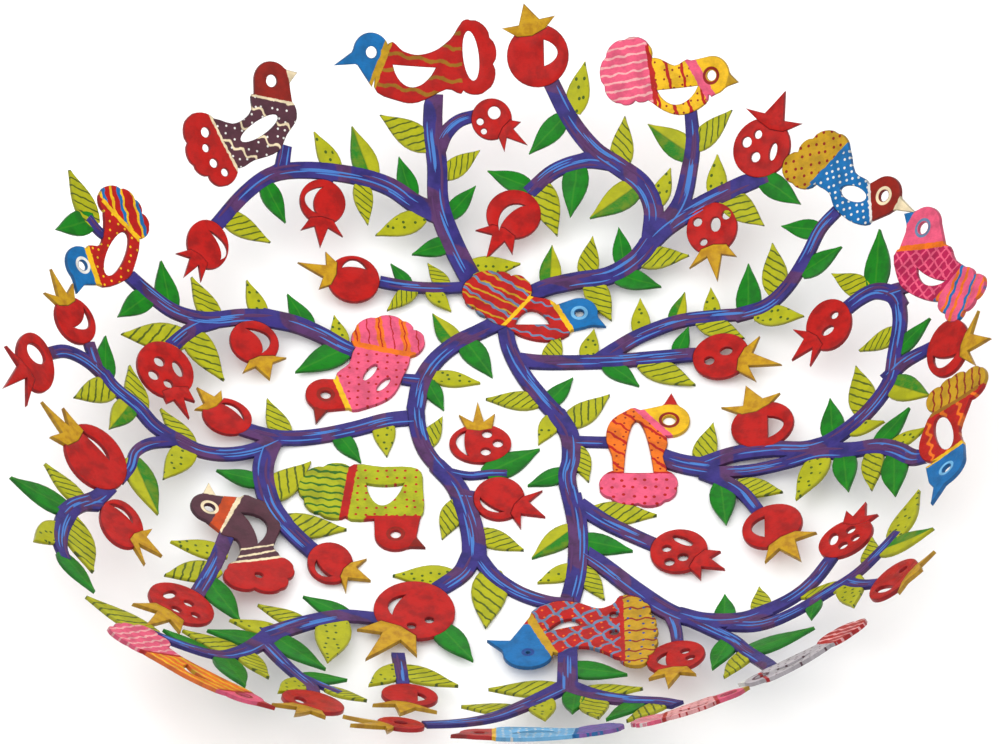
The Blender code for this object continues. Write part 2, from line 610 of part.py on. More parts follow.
def clear_scene():
    for item in list(bpy.data.objects):
        bpy.data.objects.remove(item, do_unlink=True)


def paint(name, colour):
    material = bpy.data.materials.new(name)
    material.use_nodes = True
    shader = material.node_tree.nodes["Principled BSDF"]
    shader.inputs["Base Color"].default_value = (*colour, 1.0)
    shader.inputs["Roughness"].default_value = PAINT_ROUGHNESS
    shader.inputs["Metallic"].default_value = 0.0
    return material


# Outlines. Each is an array of points in order round a shape, anticlockwise.


def anticlockwise(points):
    points = np.asarray(points, float)
    following = np.roll(points, -1, axis=0)
    area = np.sum(points[:, 0] * following[:, 1] - following[:, 0] * points[:, 1])
    return points if area > 0 else points[::-1]


def curve_through(points, closed=False, steps=CURVE_STEPS):
    """Catmull-Rom curve through the points."""
    points = np.asarray(points, float)
    if closed:
        padded = np.vstack([points[-1:], points, points[:2]])
    else:
        padded = np.vstack([2 * points[0] - points[1], points, 2 * points[-1] - points[-2]])
    route = []
    for a, b, c, d in zip(padded, padded[1:], padded[2:], padded[3:]):
        for t in np.arange(steps) / steps:
            bend = (2 * a - 5 * b + 4 * c - d) * t**2 + (3 * b - a - 3 * c + d) * t**3
            route.append(b + 0.5 * ((c - a) * t + bend))
    if not closed:
        route.append(points[-1])
    return np.array(route)


def round_shape(centre, across, steps=ROUND_STEPS, turn=0.0):
    angles = np.arange(steps) * 2 * math.pi / steps
    x, y = across[0] * np.cos(angles), across[1] * np.sin(angles)
    cos, sin = math.cos(math.radians(turn)), math.sin(math.radians(turn))
    return np.stack([centre[0] + x * cos - y * sin, centre[1] + x * sin + y * cos], axis=1)


def moon_shape(start, middle, end, hollow, steps=HOLE_STEPS):
    """Crescent from start to end by way of middle. Hollow is 0 for a straight inner edge."""
    start, middle, end = (np.asarray(p, float) for p in (start, middle, end))
    t = np.linspace(0, 1, steps // 2 + 2)[:, None]
    chord = start + (end - start) * t
    swell = (middle - (start + end) / 2) * 4 * t * (1 - t)
    outer = chord + swell
    inner = (chord + swell * hollow)[-2:0:-1] if hollow else chord[:0]
    return anticlockwise(np.vstack([outer, inner]))


def strip_shape(width_start, width_end, route):
    """Branch of changing width along a route."""
    middle = curve_through(route)
    along = np.gradient(middle, axis=0)
    along /= np.linalg.norm(along, axis=1)[:, None]
    side = np.stack([-along[:, 1], along[:, 0]], axis=1)
    half = np.linspace(width_start, width_end, len(middle))[:, None] / 2
    return anticlockwise(np.vstack([middle + side * half, (middle - side * half)[::-1]]))


def leaf_shape(base, tip):
    base, tip = np.asarray(base, float), np.asarray(tip, float)
    length = np.linalg.norm(tip - base)
    along = (tip - base) / length
    side = np.array([-along[1], along[0]])
    t = np.linspace(LEAF_CUT, 1, LEAF_STEPS + 2)[:-1]
    half = length * LEAF_PLUMPNESS * np.sin(math.pi * t**LEAF_FULLNESS)[:, None]
    middle = base - along * LEAF_ROOT + along * (length + LEAF_ROOT) * (t - t[0])[:, None] / (1 - t[0])
    return anticlockwise(np.vstack([middle - side * half, tip, (middle + side * half)[::-1]]))


def crown_shape(centre, across, tips):
    """Three-pointed calyx: tips with notches between them, and a neck on the fruit."""
    centre, tips = np.asarray(centre, float), np.asarray(tips, float)
    radius = min(across)
    notches = []
    for a, b in zip(tips, tips[1:]):
        out = (a + b) / 2 - centre
        notches.append(centre + out / np.linalg.norm(out) * radius * CROWN_NOTCH)
    heading = tips[1] - centre
    heading /= np.linalg.norm(heading)
    side = np.array([-heading[1], heading[0]])
    if np.dot(tips[0] - tips[1], side) < 0:
        side = -side
    neck = centre + heading * radius * NECK_REACH
    left, right = neck + side * radius * CROWN_NECK, neck - side * radius * CROWN_NECK
    return anticlockwise([left, tips[0], notches[0], tips[1], notches[1], tips[2], right])


def beak_shape(centre, radius, tip):
    centre, tip = np.asarray(centre, float), np.asarray(tip, float)
    heading = (tip - centre) / np.linalg.norm(tip - centre)
    side = np.array([-heading[1], heading[0]]) * radius * BEAK_WIDTH
    root = centre + heading * radius * NECK_REACH
    return anticlockwise([root - side, tip, root + side])


def neck_shape(centre, radius, collar):
    """From the sides of the head to the two ends of the collar."""
    centre, collar = np.asarray(centre, float), np.asarray(collar, float)
    heading = collar.mean(axis=0) - centre
    heading /= np.linalg.norm(heading)
    side = np.array([-heading[1], heading[0]]) * radius
    if np.dot(collar[0] - collar[1], side) < 0:
        side = -side
    return anticlockwise([centre + side, collar[0], collar[1], centre - side])


def opening(kind, *values):
    if kind == "moon":
        return moon_shape(*values)
    centre, half_x, half_y, turn = values
    return round_shape(centre, (half_x, half_y), HOLE_STEPS, turn)


def divided(outline):
    """The outline with its long edges divided, so that it follows the bowl."""
    points = []
    for a, b in zip(outline, np.roll(outline, -1, axis=0)):
        pieces = max(1, math.ceil(np.linalg.norm(b - a) / EDGE_LIMIT))
        points.extend(a + (b - a) * i / pieces for i in range(pieces))
    return np.array(points)


def grown(outline, distance):
    """The outline moved outwards by a distance, with its corners kept."""
    before = outline - np.roll(outline, 1, axis=0)
    after = np.roll(outline, -1, axis=0) - outline
    before /= np.linalg.norm(before, axis=1)[:, None]
    after /= np.linalg.norm(after, axis=1)[:, None]
    normal = np.stack([before[:, 1] + after[:, 1], -before[:, 0] - after[:, 0]], axis=1)
    length = np.maximum(np.linalg.norm(normal, axis=1)[:, None], SHARPEST)
    stretch = 2 / length
    return outline + normal / length * stretch * distance


# Sheet pieces: outlines are cut from each other in the plane, and what is left is given its thickness.


def turns_round(outline, points):
    """How many times the outline winds round each point."""
    x, y = points[:, 0], points[:, 1]
    turns = np.zeros(len(points), int)
    for a, b in zip(outline, np.roll(outline, -1, axis=0)):
        side = (b[0] - a[0]) * (y - a[1]) - (x - a[0]) * (b[1] - a[1])
        turns += (a[1] <= y) & (b[1] > y) & (side > 0)
        turns -= (a[1] > y) & (b[1] <= y) & (side < 0)
    return turns


def near(one, other):
    low_one, high_one = one.min(axis=0), one.max(axis=0)
    low_other, high_other = other.min(axis=0), other.max(axis=0)
    return bool(np.all(low_one <= high_other) and np.all(low_other <= high_one))


def triangulated(outlines):
    """Points, triangles and the areas of the triangles between the outlines."""
    coords, edges = [], []
    for outline in outlines:
        first = len(coords)
        coords.extend(outline.tolist())
        edges.extend((first + i, first + (i + 1) % len(outline)) for i in range(len(outline)))
    result = delaunay_2d_cdt(coords, edges, [], 0, MERGE, True)
    points = np.array([tuple(p) for p in result[0]])
    faces = np.array([tuple(f) for f in result[2]])
    one, two = points[faces[:, 1]] - points[faces[:, 0]], points[faces[:, 2]] - points[faces[:, 0]]
    areas = (one[:, 0] * two[:, 1] - one[:, 1] * two[:, 0]) / 2
    faces[areas < 0] = faces[areas < 0][:, ::-1]
    return points, faces, np.abs(areas)


def united(shapes, cuts):
    """Points and triangles of the shapes' union less the cuts."""
    points, faces, areas = triangulated(shapes + cuts)
    middle = points[faces].mean(axis=1)
    keep = np.any([turns_round(outline, middle) != 0 for outline in shapes], axis=0)
    for outline in cuts:
        keep &= turns_round(outline, middle) == 0
    keep &= areas > SMALLEST
    return points, without_pinches(faces[keep], areas[keep])


def largest_piece(faces, areas):
    """The faces of the largest piece that holds together along edges."""
    owners = {}
    for index, face in enumerate(faces):
        for a, b in zip(face, np.roll(face, -1)):
            owners.setdefault(frozenset((int(a), int(b))), []).append(index)
    links = {index: set() for index in range(len(faces))}
    for pair in owners.values():
        if len(pair) == 2:
            links[pair[0]].add(pair[1])
            links[pair[1]].add(pair[0])
    best, unseen = [], set(links)
    while unseen:
        group, queue = set(), [min(unseen)]
        while queue:
            index = queue.pop()
            if index not in group:
                group.add(index)
                queue.extend(links[index] - group)
        unseen -= group
        if sum(areas[i] for i in group) > sum(areas[i] for i in best):
            best = sorted(group)
    return faces[best], areas[best]


def border_of(faces):
    """Directed edges that only one face uses."""
    directed = {(int(a), int(b)) for face in faces for a, b in zip(face, np.roll(face, -1))}
    return [edge for edge in sorted(directed) if edge[::-1] not in directed]


def without_pinches(faces, areas):
    """Drop the smallest triangle at each point where the border meets itself."""
    while True:
        faces, areas = largest_piece(faces, areas)
        starts = [a for a, b in border_of(faces)]
        pinched = sorted({a for a in starts if starts.count(a) > 1})
        if not pinched:
            return faces
        at_pinch = np.nonzero((faces == pinched[0]).any(axis=1))[0]
        drop = at_pinch[np.argmin(areas[at_pinch])]
        faces, areas = np.delete(faces, drop, axis=0), np.delete(areas, drop)


def loops_round(points, faces):
    """The border as closed loops of points: the outer one anticlockwise, openings clockwise."""
    following = dict(border_of(faces))
    loops = []
    while following:
        at = min(following)
        loop = []
        while at in following:
            loop.append(at)
            at = following.pop(at)
        loops.append(eased(points[loop]))
    return loops


def eased(loop):
    """The loop without the points that a straight edge already passes through."""
    kept = [loop[0]]
    for point, after in zip(loop[1:], np.roll(loop, -1, axis=0)[1:]):
        reach = after - kept[-1]
        length = np.linalg.norm(reach)
        off = abs(reach[0] * (point[1] - kept[-1][1]) - reach[1] * (point[0] - kept[-1][0]))
        if off > STRAIGHT * length or length > EDGE_LIMIT:
            kept.append(point)
    return np.array(kept)


def on_bowl(points, lift):
    """Flat points laid on the bowl, lifted from its underside along the sheet's normal."""
    out = np.maximum(np.linalg.norm(points, axis=1), TINY)
    lean = np.maximum(-points[:, 0] / out, 0) ** 2 * np.maximum(-points[:, 1] / out, 0)
    flatter = 1 - FLARE * lean * np.clip((out - FLARE_START) / FLARE_SPAN, 0, 1)
    radius = WALL_RADIUS / flatter
    angle = np.maximum(out - BASE_RADIUS, 0) / radius
    reach = np.minimum(out, BASE_RADIUS) + (radius - lift) * np.sin(angle)
    scale = reach / out
    height = radius - (radius - lift) * np.cos(angle)
    return np.column_stack([points * scale[:, None], height]) * MM


def sheet_piece(name, shapes, cuts, material):
    """One closed body, named as its sub-part."""
    shapes = [divided(outline) for outline in shapes]
    cuts = [divided(outline) for outline in cuts if any(near(outline, s) for s in shapes)]
    loops = loops_round(*united(shapes, cuts))
    flat, faces, _ = triangulated(loops)
    middle = flat[faces].mean(axis=1)
    faces = faces[sum(turns_round(loop, middle) for loop in loops) != 0]
    count = len(flat)
    bottom = faces[:, ::-1].tolist()
    top = (faces + count).tolist()
    sides = []
    for a, b in border_of(faces):
        sides.append([a, b, b + count])
        sides.append([a, b + count, a + count])
    mesh = bpy.data.meshes.new(name)
    vertices = np.vstack([on_bowl(flat, 0.0), on_bowl(flat, SHEET)])
    mesh.from_pydata(vertices.tolist(), [], bottom + top + sides)
    mesh.materials.append(material)
    mesh.update()
    mesh.shade_smooth()
    mesh.set_sharp_from_angle(angle=SHARP_ANGLE)
    item = bpy.data.objects.new(name, mesh)
    bpy.context.scene.collection.objects.link(item)
    return item


# The three kinds of sub-part.


def bird_parts(bird):
    centre, radius, tip, collar, body, tail, holes = bird
    shapes = [
        round_shape(centre, (radius, radius)),
        neck_shape(centre, radius, collar),
        beak_shape(centre, radius, tip),
        anticlockwise(curve_through(body, closed=True, steps=1)),
        anticlockwise(tail),
    ]
    return shapes, [opening(*hole) for hole in holes]


def fruit_parts(fruit):
    centre, across, tips, holes = fruit
    shapes = [round_shape(centre, across), crown_shape(centre, across, tips)]
    return shapes, [opening(*hole) for hole in holes]


def limb_parts(limb):
    shapes = [strip_shape(*branch) for branch in limb["branches"]]
    shapes += [leaf_shape(*leaf) for leaf in limb["leaves"]]
    return shapes, []


def build():
    clear_scene()
    taken = []
    work = [(name, *bird_parts(bird), BIRD_PAINT[name]) for name, bird in BIRDS.items()]
    work += [(name, *fruit_parts(fruit), FRUIT_RED) for name, fruit in POMEGRANATES.items()]
    work += [(name, *limb_parts(limb), BRANCH_VIOLET) for name, limb in LIMBS.items()]
    for name, shapes, holes, colour in work:
        if name in TWIGS:
            shapes += limb_parts(TWIGS[name])[0]
        sheet_piece(name, shapes, holes + taken, paint(name, colour))
        taken += [grown(outline, GAP) for outline in shapes]


build()
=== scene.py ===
import json
import math
from functools import partial

import bpy
import numpy as np
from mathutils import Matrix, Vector
from mathutils.geometry import delaunay_2d_cdt

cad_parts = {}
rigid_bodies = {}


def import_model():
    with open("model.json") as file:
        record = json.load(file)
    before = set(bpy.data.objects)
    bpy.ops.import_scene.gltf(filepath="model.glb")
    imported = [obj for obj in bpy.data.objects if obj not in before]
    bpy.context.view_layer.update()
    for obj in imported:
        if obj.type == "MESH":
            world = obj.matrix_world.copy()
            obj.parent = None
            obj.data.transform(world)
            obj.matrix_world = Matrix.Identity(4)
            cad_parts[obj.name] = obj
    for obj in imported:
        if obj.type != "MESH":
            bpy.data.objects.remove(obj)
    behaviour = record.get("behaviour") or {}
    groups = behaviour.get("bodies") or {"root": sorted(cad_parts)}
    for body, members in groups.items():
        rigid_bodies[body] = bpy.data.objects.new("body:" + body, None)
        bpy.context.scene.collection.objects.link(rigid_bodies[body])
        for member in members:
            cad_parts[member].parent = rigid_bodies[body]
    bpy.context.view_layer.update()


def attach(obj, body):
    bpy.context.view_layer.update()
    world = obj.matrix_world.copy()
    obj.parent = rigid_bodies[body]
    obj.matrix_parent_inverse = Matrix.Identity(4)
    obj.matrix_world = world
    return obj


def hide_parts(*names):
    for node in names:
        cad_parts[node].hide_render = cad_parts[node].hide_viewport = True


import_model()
mm = 0.001  # flat places below are millimetres on the sheet, before it is raised
seed = 7

# the raised sheet: a flat disc, then a wall that curves up to the rim
bowl = {"rimRadius": 180.0, "baseRadius": 62.0, "rimSlope": math.radians(50)}
bowl["wallRadius"] = (bowl["rimRadius"] - bowl["baseRadius"]) / math.sin(bowl["rimSlope"])
flare = {"amount": 0.364, "start": 110.0, "span": 90.0}  # the near left wall leans out further
sheet = {
    "figure": 1.5, "branch": 1.42, "leaf": 1.3, "edge": 0.32, "spacing": 3.6, "step": 4.0,
    "bevel": 0.3, "crowding": 0.55, "sharp": math.radians(50),
}
uvScale = 100.0  # millimetres for one unit of the flat paint map

# colours as they look on screen
colours = {
    "red": (177, 12, 4), "darkRed": (128, 4, 2), "gold": (189, 146, 14), "ochre": (150, 100, 8),
    "indigo": (52, 42, 118), "navy": (28, 24, 84), "plum": (84, 46, 96), "strokeBlue": (70, 124, 200),
    "blue": (4, 104, 168), "deepBlue": (20, 66, 140), "paleBlue": (110, 178, 222), "lilac": (134, 92, 168),
    "pink": (226, 86, 120), "palePink": (238, 170, 170), "magenta": (178, 20, 76), "cream": (232, 214, 176),
    "yellow": (232, 182, 16), "orange": (230, 110, 10), "redBrown": (138, 22, 6), "rust": (190, 66, 6),
    "white": (228, 226, 220), "greyWhite": (186, 180, 184), "green": (44, 104, 16), "lime": (164, 170, 14),
    "greyBlue": (98, 124, 156), "purpleBrown": (80, 42, 54),
}

# pomegranates: places are flat millimetres; tips are the three points of the crown
pomegranates = {
    "pomegranate_01": {
        "centre": (14.5, 180), "across": (12.5, 12), "crown": "gold",
        "tips": [(0, 190.5), (9, 200), (22, 195)],
        "holes": [("moon", (17, 186), (22.5, 181), (17, 176), 0)],
    },
    "pomegranate_02": {
        "centre": (-4, 156), "across": (8, 8), "crown": "red", "tips": [(7.5, 155), (10, 146), (1, 143.5)],
        "holes": [("round", (-3, 158.5), 2.5), ("round", (-8.5, 155), 1.4), ("round", (-7, 151.3), 1.2)],
    },
    "pomegranate_03": {
        "centre": (4.5, 118.5), "across": (10.5, 10), "crown": "red",
        "tips": [(-10, 112), (-6, 100), (4, 102)],
        "holes": [("moon", (-1, 112), (1, 121), (9, 122), 0.4)],
    },
    "pomegranate_04": {
        "centre": (103, 134.5), "across": (12, 11.5), "crown": "red",
        "tips": [(98, 151), (115.5, 154), (121, 140)],
        "holes": [
            ("slot", (107.5, 132), 1.6, 3.5, -20), ("round", (97, 138), 2.1), ("round", (102, 140), 1.7),
            ("round", (100, 131.5), 2),
        ],
    },
    "pomegranate_05": {
        "centre": (80.5, 106.5), "across": (10, 10.5), "crown": "gold",
        "tips": [(71, 91.5), (81.5, 84.5), (89.5, 93.5)],
        "holes": [
            ("slot", (82, 108), 2, 3, 0), ("round", (86.5, 111), 1.8), ("round", (75, 110), 1.8),
            ("round", (77, 101.5), 1.5),
        ],
    },
    "pomegranate_06": {
        "centre": (-69, 119), "across": (9, 9), "crown": "red",
        "tips": [(-77, 106.5), (-69, 100.5), (-60.5, 106)],
        "holes": [("moon", (-69, 125), (-76, 120), (-71, 114), 0.4)],
    },
    "pomegranate_07": {
        "centre": (-113.5, 93), "across": (8.5, 10), "crown": "red",
        "tips": [(-126, 86), (-122, 77), (-115, 77)],
        "holes": [("moon", (-114, 99), (-106, 94), (-108, 88), 0.4)],
    },
    "pomegranate_08": {
        "centre": (-56, 88.5), "across": (10, 10), "crown": "gold",
        "tips": [(-67, 99), (-77.5, 93), (-69, 83)],
        "holes": [("moon", (-60.5, 93), (-56, 97), (-51, 93), 0.2)],
    },
    "pomegranate_09": {
        "centre": (-93, 55.5), "across": (9.5, 9.5), "crown": "gold",
        "tips": [(-97, 41), (-86.5, 39.5), (-80.5, 50.5)],
        "holes": [("moon", (-97, 61), (-87.5, 59), (-90, 51), 0.4)],
    },
    "pomegranate_10": {
        "centre": (-127.5, 34), "across": (11.5, 12.5), "crown": "red",
        "tips": [(-126, 19), (-117, 14.5), (-115, 23)],
        "holes": [
            ("slot", (-122.5, 36), 1.9, 3.6, 25), ("round", (-130, 37), 2.2), ("round", (-132, 30), 2.2),
            ("round", (-126, 28), 1.9),
        ],
    },
    "pomegranate_11": {
        "centre": (-167, 40.5), "across": (9.5, 10), "crown": "gold",
        "tips": [(-182.5, 45.5), (-180.5, 57.5), (-169.5, 56.5)],
        "holes": [("moon", (-164, 48), (-160.5, 41), (-168, 37), 0.4)],
    },
    "pomegranate_12": {
        "centre": (-184.5, 10), "across": (9.5, 14), "crown": "red",
        "tips": [(-200, 8), (-199, -13), (-187, -14)],
        "holes": [("slot", (-184.5, 14.5), 4.6, 4.4, 0)],
    },
    "pomegranate_13": {
        "centre": (-102.5, 19), "across": (9.5, 8.5), "crown": "gold",
        "tips": [(-105, 31), (-114.5, 30), (-115, 19.5)],
        "holes": [("moon", (-105, 24.5), (-99, 24.5), (-96, 18), 0.3)],
    },
    "pomegranate_14": {
        "centre": (-155, -21.5), "across": (13.5, 16), "crown": "gold",
        "tips": [(-170, -4), (-180, -7), (-175, -22)],
        "holes": [("moon", (-161, -12), (-153, -13), (-149, -20), 0.2)],
    },
    "pomegranate_15": {
        "centre": (-143.5, -52.5), "across": (9, 13.5), "crown": "gold",
        "tips": [(-131, -49), (-127, -63), (-134, -72)],
        "holes": [("moon", (-149, -44), (-142, -43), (-139, -50), 0.3)],
    },
    "pomegranate_16": {
        "centre": (-8, 10.5), "across": (11.5, 9.5), "crown": "gold",
        "tips": [(-16, 25), (-9, 31.5), (-2.5, 25.5)],
        "holes": [
            ("moon", (-13, 17), (-17, 11), (-12, 4), 0.3), ("round", (-5.5, 15.2), 2),
            ("round", (-1.5, 10.5), 2), ("round", (-6, 6.5), 2),
        ],
    },
    "pomegranate_17": {
        "centre": (-1, -16.5), "across": (9.5, 10.5), "crown": "red",
        "tips": [(15, -12.5), (16, -25.5), (7, -31)],
        "holes": [("moon", (-8, -16), (-5.5, -22), (1, -23), 0.3)],
    },
    "pomegranate_18": {
        "centre": (82, 51), "across": (10.8, 10.3), "crown": "gold",
        "tips": [(97, 57.5), (105, 43), (95, 37.5)],
        "holes": [("slot", (84, 53), 2.4, 1.8, 0), ("round", (77.5, 49.5), 1.9)],
    },
    "pomegranate_19": {
        "centre": (124.5, 55.5), "across": (9.3, 11), "crown": "red",
        "tips": [(110, 57.5), (109, 44), (116, 39.5)],
        "holes": [("slot", (124, 53), 2.6, 1.6, 25), ("round", (127, 59), 1.6)],
    },
    "pomegranate_20": {
        "centre": (97, 16), "across": (12, 11), "crown": "gold", "tips": [(81.5, 27), (91, 36), (104, 30)],
        "holes": [("moon", (99, 20), (105, 15), (99, 9.5), 0)],
    },
    "pomegranate_21": {
        "centre": (65, -43), "across": (10.7, 11), "crown": "red",
        "tips": [(80.5, -45), (82, -55), (73, -59)],
        "holes": [
            ("slot", (66.5, -38), 1.6, 4.4, 55), ("round", (60.5, -41.5), 1.7), ("round", (66.5, -46.5), 2),
            ("round", (61.5, -48.5), 1.9),
        ],
    },
    "pomegranate_22": {
        "centre": (100, -36), "across": (11.5, 11.5), "crown": "gold",
        "tips": [(117, -45), (111, -59), (97, -55)],
        "holes": [("moon", (97, -30), (92, -35), (97, -41), 0)],
    },
    "pomegranate_23": {
        "centre": (129, -54.5), "across": (11, 10.5), "crown": "red",
        "tips": [(129, -38), (137, -37), (142, -47)],
        "holes": [
            ("slot", (124, -52.5), 1.9, 3.5, 0), ("round", (131, -50.5), 2), ("round", (133, -56.5), 1.9),
            ("round", (128, -58.5), 2),
        ],
    },
    "pomegranate_24": {
        "centre": (175, 23), "across": (10, 13), "crown": "gold",
        "tips": [(191, 32), (196, 15), (187.5, 6.5)],
        "holes": [("moon", (168, 23), (171, 15.5), (179, 18), 0.2)],
    },
    "pomegranate_25": {
        "centre": (-63, -49), "across": (8.5, 10.5), "crown": "gold",
        "tips": [(-49.5, -46), (-48, -57), (-57, -64)],
        "holes": [("moon", (-68, -48), (-67.5, -55), (-62, -56), 0.3)],
    },
    "pomegranate_26": {
        "centre": (-32, -72.5), "across": (15, 15.5), "crown": "gold",
        "tips": [(-53, -84.5), (-50, -103), (-31, -98)],
        "holes": [
            ("moon", (-35, -64), (-41, -68), (-40, -75), 0.3), ("round", (-26.5, -77), 1.7),
            ("round", (-33, -80.5), 1.7),
        ],
    },
    "pomegranate_27": {
        "centre": (-120, -91), "across": (13, 13), "crown": "gold",
        "tips": [(-140, -103), (-136, -119), (-121, -113)],
        "holes": [
            ("slot", (-124.5, -87), 1.7, 4, -35), ("round", (-117, -89), 2), ("round", (-122, -96), 2),
            ("round", (-114.5, -96), 1.8),
        ],
    },
    "pomegranate_28": {
        "centre": (64, -105.5), "across": (11, 11), "crown": "gold",
        "tips": [(54, -119), (61.5, -129), (72, -122)],
        "holes": [
            ("moon", (61, -101), (57, -106), (61, -111), 0.2), ("round", (67.5, -102.5), 1.8),
            ("round", (69.5, -108), 1.8),
        ],
    },
    "pomegranate_29": {
        "centre": (152, -103), "across": (11, 14), "crown": "gold",
        "tips": [(171, -100), (166, -111), (156, -122)],
        "holes": [("slot", (148, -107), 2.2, 6, 40), ("round", (156, -98.5), 2)],
    },
    "pomegranate_30": {
        "centre": (-34, -128), "across": (10.5, 9.5), "crown": "gold",
        "tips": [(-48, -140), (-38, -147), (-24, -141)],
        "holes": [("moon", (-31, -125), (-28, -129), (-31, -132.5), 0)],
    },
    "pomegranate_31": {
        "centre": (-71, -149), "across": (12, 12.5), "crown": "gold",
        "tips": [(-88, -165), (-80, -178), (-67, -168)],
        "holes": [("slot", (-76, -150), 2.2, 4, 0)],
    },
    "pomegranate_32": {
        "centre": (-38, -161), "across": (9, 9), "crown": "gold",
        "tips": [(-60, -160), (-58, -176), (-44, -182)],
        "holes": [("round", (-38, -160), 2.5)],
    },
}

